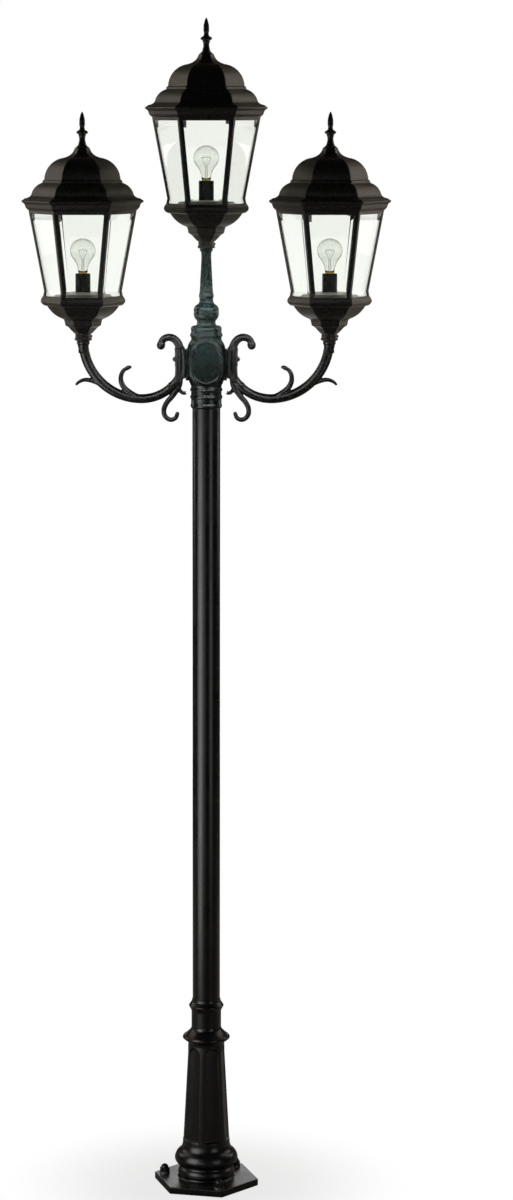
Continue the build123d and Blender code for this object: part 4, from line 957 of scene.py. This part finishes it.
# %% Lamp glass, base and wires
BULB_FOOT, BULB_CENTRE, BULB_RADIUS, BULB_DOME = 186.0, 243.5, 34.5, 33.5
BULB_WALL, BULB_SIDES = 0.7, 64
bulb_outside = traced([
    (12.6, BULB_FOOT), (13.4, 194.0), (28.0, 223.8, -2.5), (BULB_RADIUS, BULB_CENTRE, 1.6)], 12)
bulb_outside += [Vector((BULB_RADIUS * math.cos(a), BULB_CENTRE + BULB_DOME * math.sin(a)))
                 for a in (math.radians(5 * n) for n in range(1, 18))]
bulb_inside = [Vector((max(p.x - BULB_WALL, 0.3),
                       p.y - BULB_WALL * max(0.0, (p.y - BULB_CENTRE) / BULB_DOME)))
               for p in bulb_outside]
bulb_mesh = bmesh.new()
for outline, way in ((bulb_outside, 1), (bulb_inside, -1)):
    skin(bulb_mesh, [round_loop(p.x, p.y, BULB_SIDES) for p in outline])
    bulb_mesh.faces.new(list(bulb_mesh.verts)[-BULB_SIDES:][::way])
# A rim at the foot joins the glass's outside to its inside
points = list(bulb_mesh.verts)
inner = len(bulb_outside) * BULB_SIDES
for n in range(BULB_SIDES):
    m = (n + 1) % BULB_SIDES
    bulb_mesh.faces.new((points[n], points[inner + n], points[inner + m], points[m]))
bulb_data = mesh_data("bulb", bulb_mesh)

# The thread's crest rises as it goes round, and fades out at the shell's foot and head
PITCH, THREAD_RISE, SHELL_SIDES = 3.6, 0.5, 48
SHELL_RADIUS, SHELL_FOOT, SHELL_HEAD, SHELL_GAP, SHELL_RUNGS = 13.0, 157.0, 184.0, 0.45, 58
shell_loops = [round_loop(8.0, 155.2, SHELL_SIDES)]
for height in (SHELL_FOOT + SHELL_GAP * n for n in range(SHELL_RUNGS)):
    fade = max(0.0, min(1.0, (height - SHELL_FOOT) / 2, (SHELL_HEAD - height) / 3))
    loop = round_loop(SHELL_RADIUS - 0.45, height, SHELL_SIDES)
    for k, point in enumerate(loop):
        wave = math.sin(2 * math.pi * (height / PITCH - k / SHELL_SIDES))
        point.xy *= 1 + THREAD_RISE * fade * wave / SHELL_RADIUS
    shell_loops.append(loop)
shell_loops += [round_loop(12.4, 185.9, SHELL_SIDES), round_loop(11.0, 186.0, SHELL_SIDES)]
shell_data = mesh_data("lamp_shell", skin(bmesh.new(), shell_loops, capped=True))
tip_loops = [round_loop(radius, height, 24) for radius, height in (
    (7.8, 155.4), (6.0, 154.6), (4.6, 153.8), (3.6, 152.5), (1.5, 152.05))]
tip_data = mesh_data("lamp_tip", skin(bmesh.new(), tip_loops, capped=True))
tip_data.materials.append(FINISH["solder"])

# The glass mount is pressed flat at its upper end, where it grips the wires
PRESS_FROM, PRESS_FLAT = 208.0, 0.55
press = traced([
    (10.6, 186.2), (4.2, 195.0, -2.0), (3.4, 210.0), (2.6, 216.0), (3.4, 219.0), (1.0, 220.5, 0.6)])
press_loops = [[Vector((v.x, v.y * (PRESS_FLAT if p.y > PRESS_FROM else 1.0), v.z))
                for v in round_loop(p.x, p.y, 32)] for p in press]
press_data = mesh_data("lamp_mount", skin(bmesh.new(), press_loops, capped=True))

# On each side a lead wire to the filament's end, and a thin hook that holds it up
wires_mesh = bmesh.new()
for way in (-1, 1):
    lead = [(2.0, 0, 214), (3.4, 0, 222), (11.0, 0, 240), (12.0, 0, 243.6), (11.6, 0, 244.6)]
    hook = [(0.8, 0, 219), (2.4, 0.6, 232), (4.4, 0.4, 245.5), (4.6, -0.8, 246.3), (4.6, -1.0, 245.3)]
    for line, radius in ((lead, 0.45), (hook, 0.2)):
        wire(wires_mesh, [Vector((way * x, y, z)) for x, y, z in line], radius)
TURNS, TURN_STEPS, COIL_HALF, COIL_RADIUS, COIL_HEIGHT, COIL_ARCH = 46, 10, 11.8, 0.75, 243.6, 2.2
coil = []
for n in range(TURNS * TURN_STEPS + 1):
    a = 2 * math.pi * n / TURN_STEPS
    x = COIL_HALF * (2 * n / (TURNS * TURN_STEPS) - 1)
    arch = COIL_ARCH * (1 - (x / COIL_HALF) ** 2)
    coil.append(Vector((x, COIL_RADIUS * math.cos(a), COIL_HEIGHT + arch + COIL_RADIUS * math.sin(a))))
wire(wires_mesh, coil, 0.17, sides=5)
wires_data = mesh_data("lamp_wires", wires_mesh)
wires_data.materials.append(FINISH["lamp_wire"])

set_on_lanterns("lamp_globe", bulb_data, "lamp_glass", "lamp", "bulb_glass", weigh=False)
set_on_lanterns("lamp_shell", shell_data, "lamp_brass", "lamp", "bulb_base")
set_on_lanterns("lamp_tip", tip_data, "lamp_brass", "lamp")
set_on_lanterns("lamp_mount", press_data, "filament_glass", "lamp", "filament_mount", weigh=False)
set_on_lanterns("lamp_wires", wires_data, "filament_glass", "lamp", weigh=False)
print("lamp wires", len(wires_data.vertices), "points")
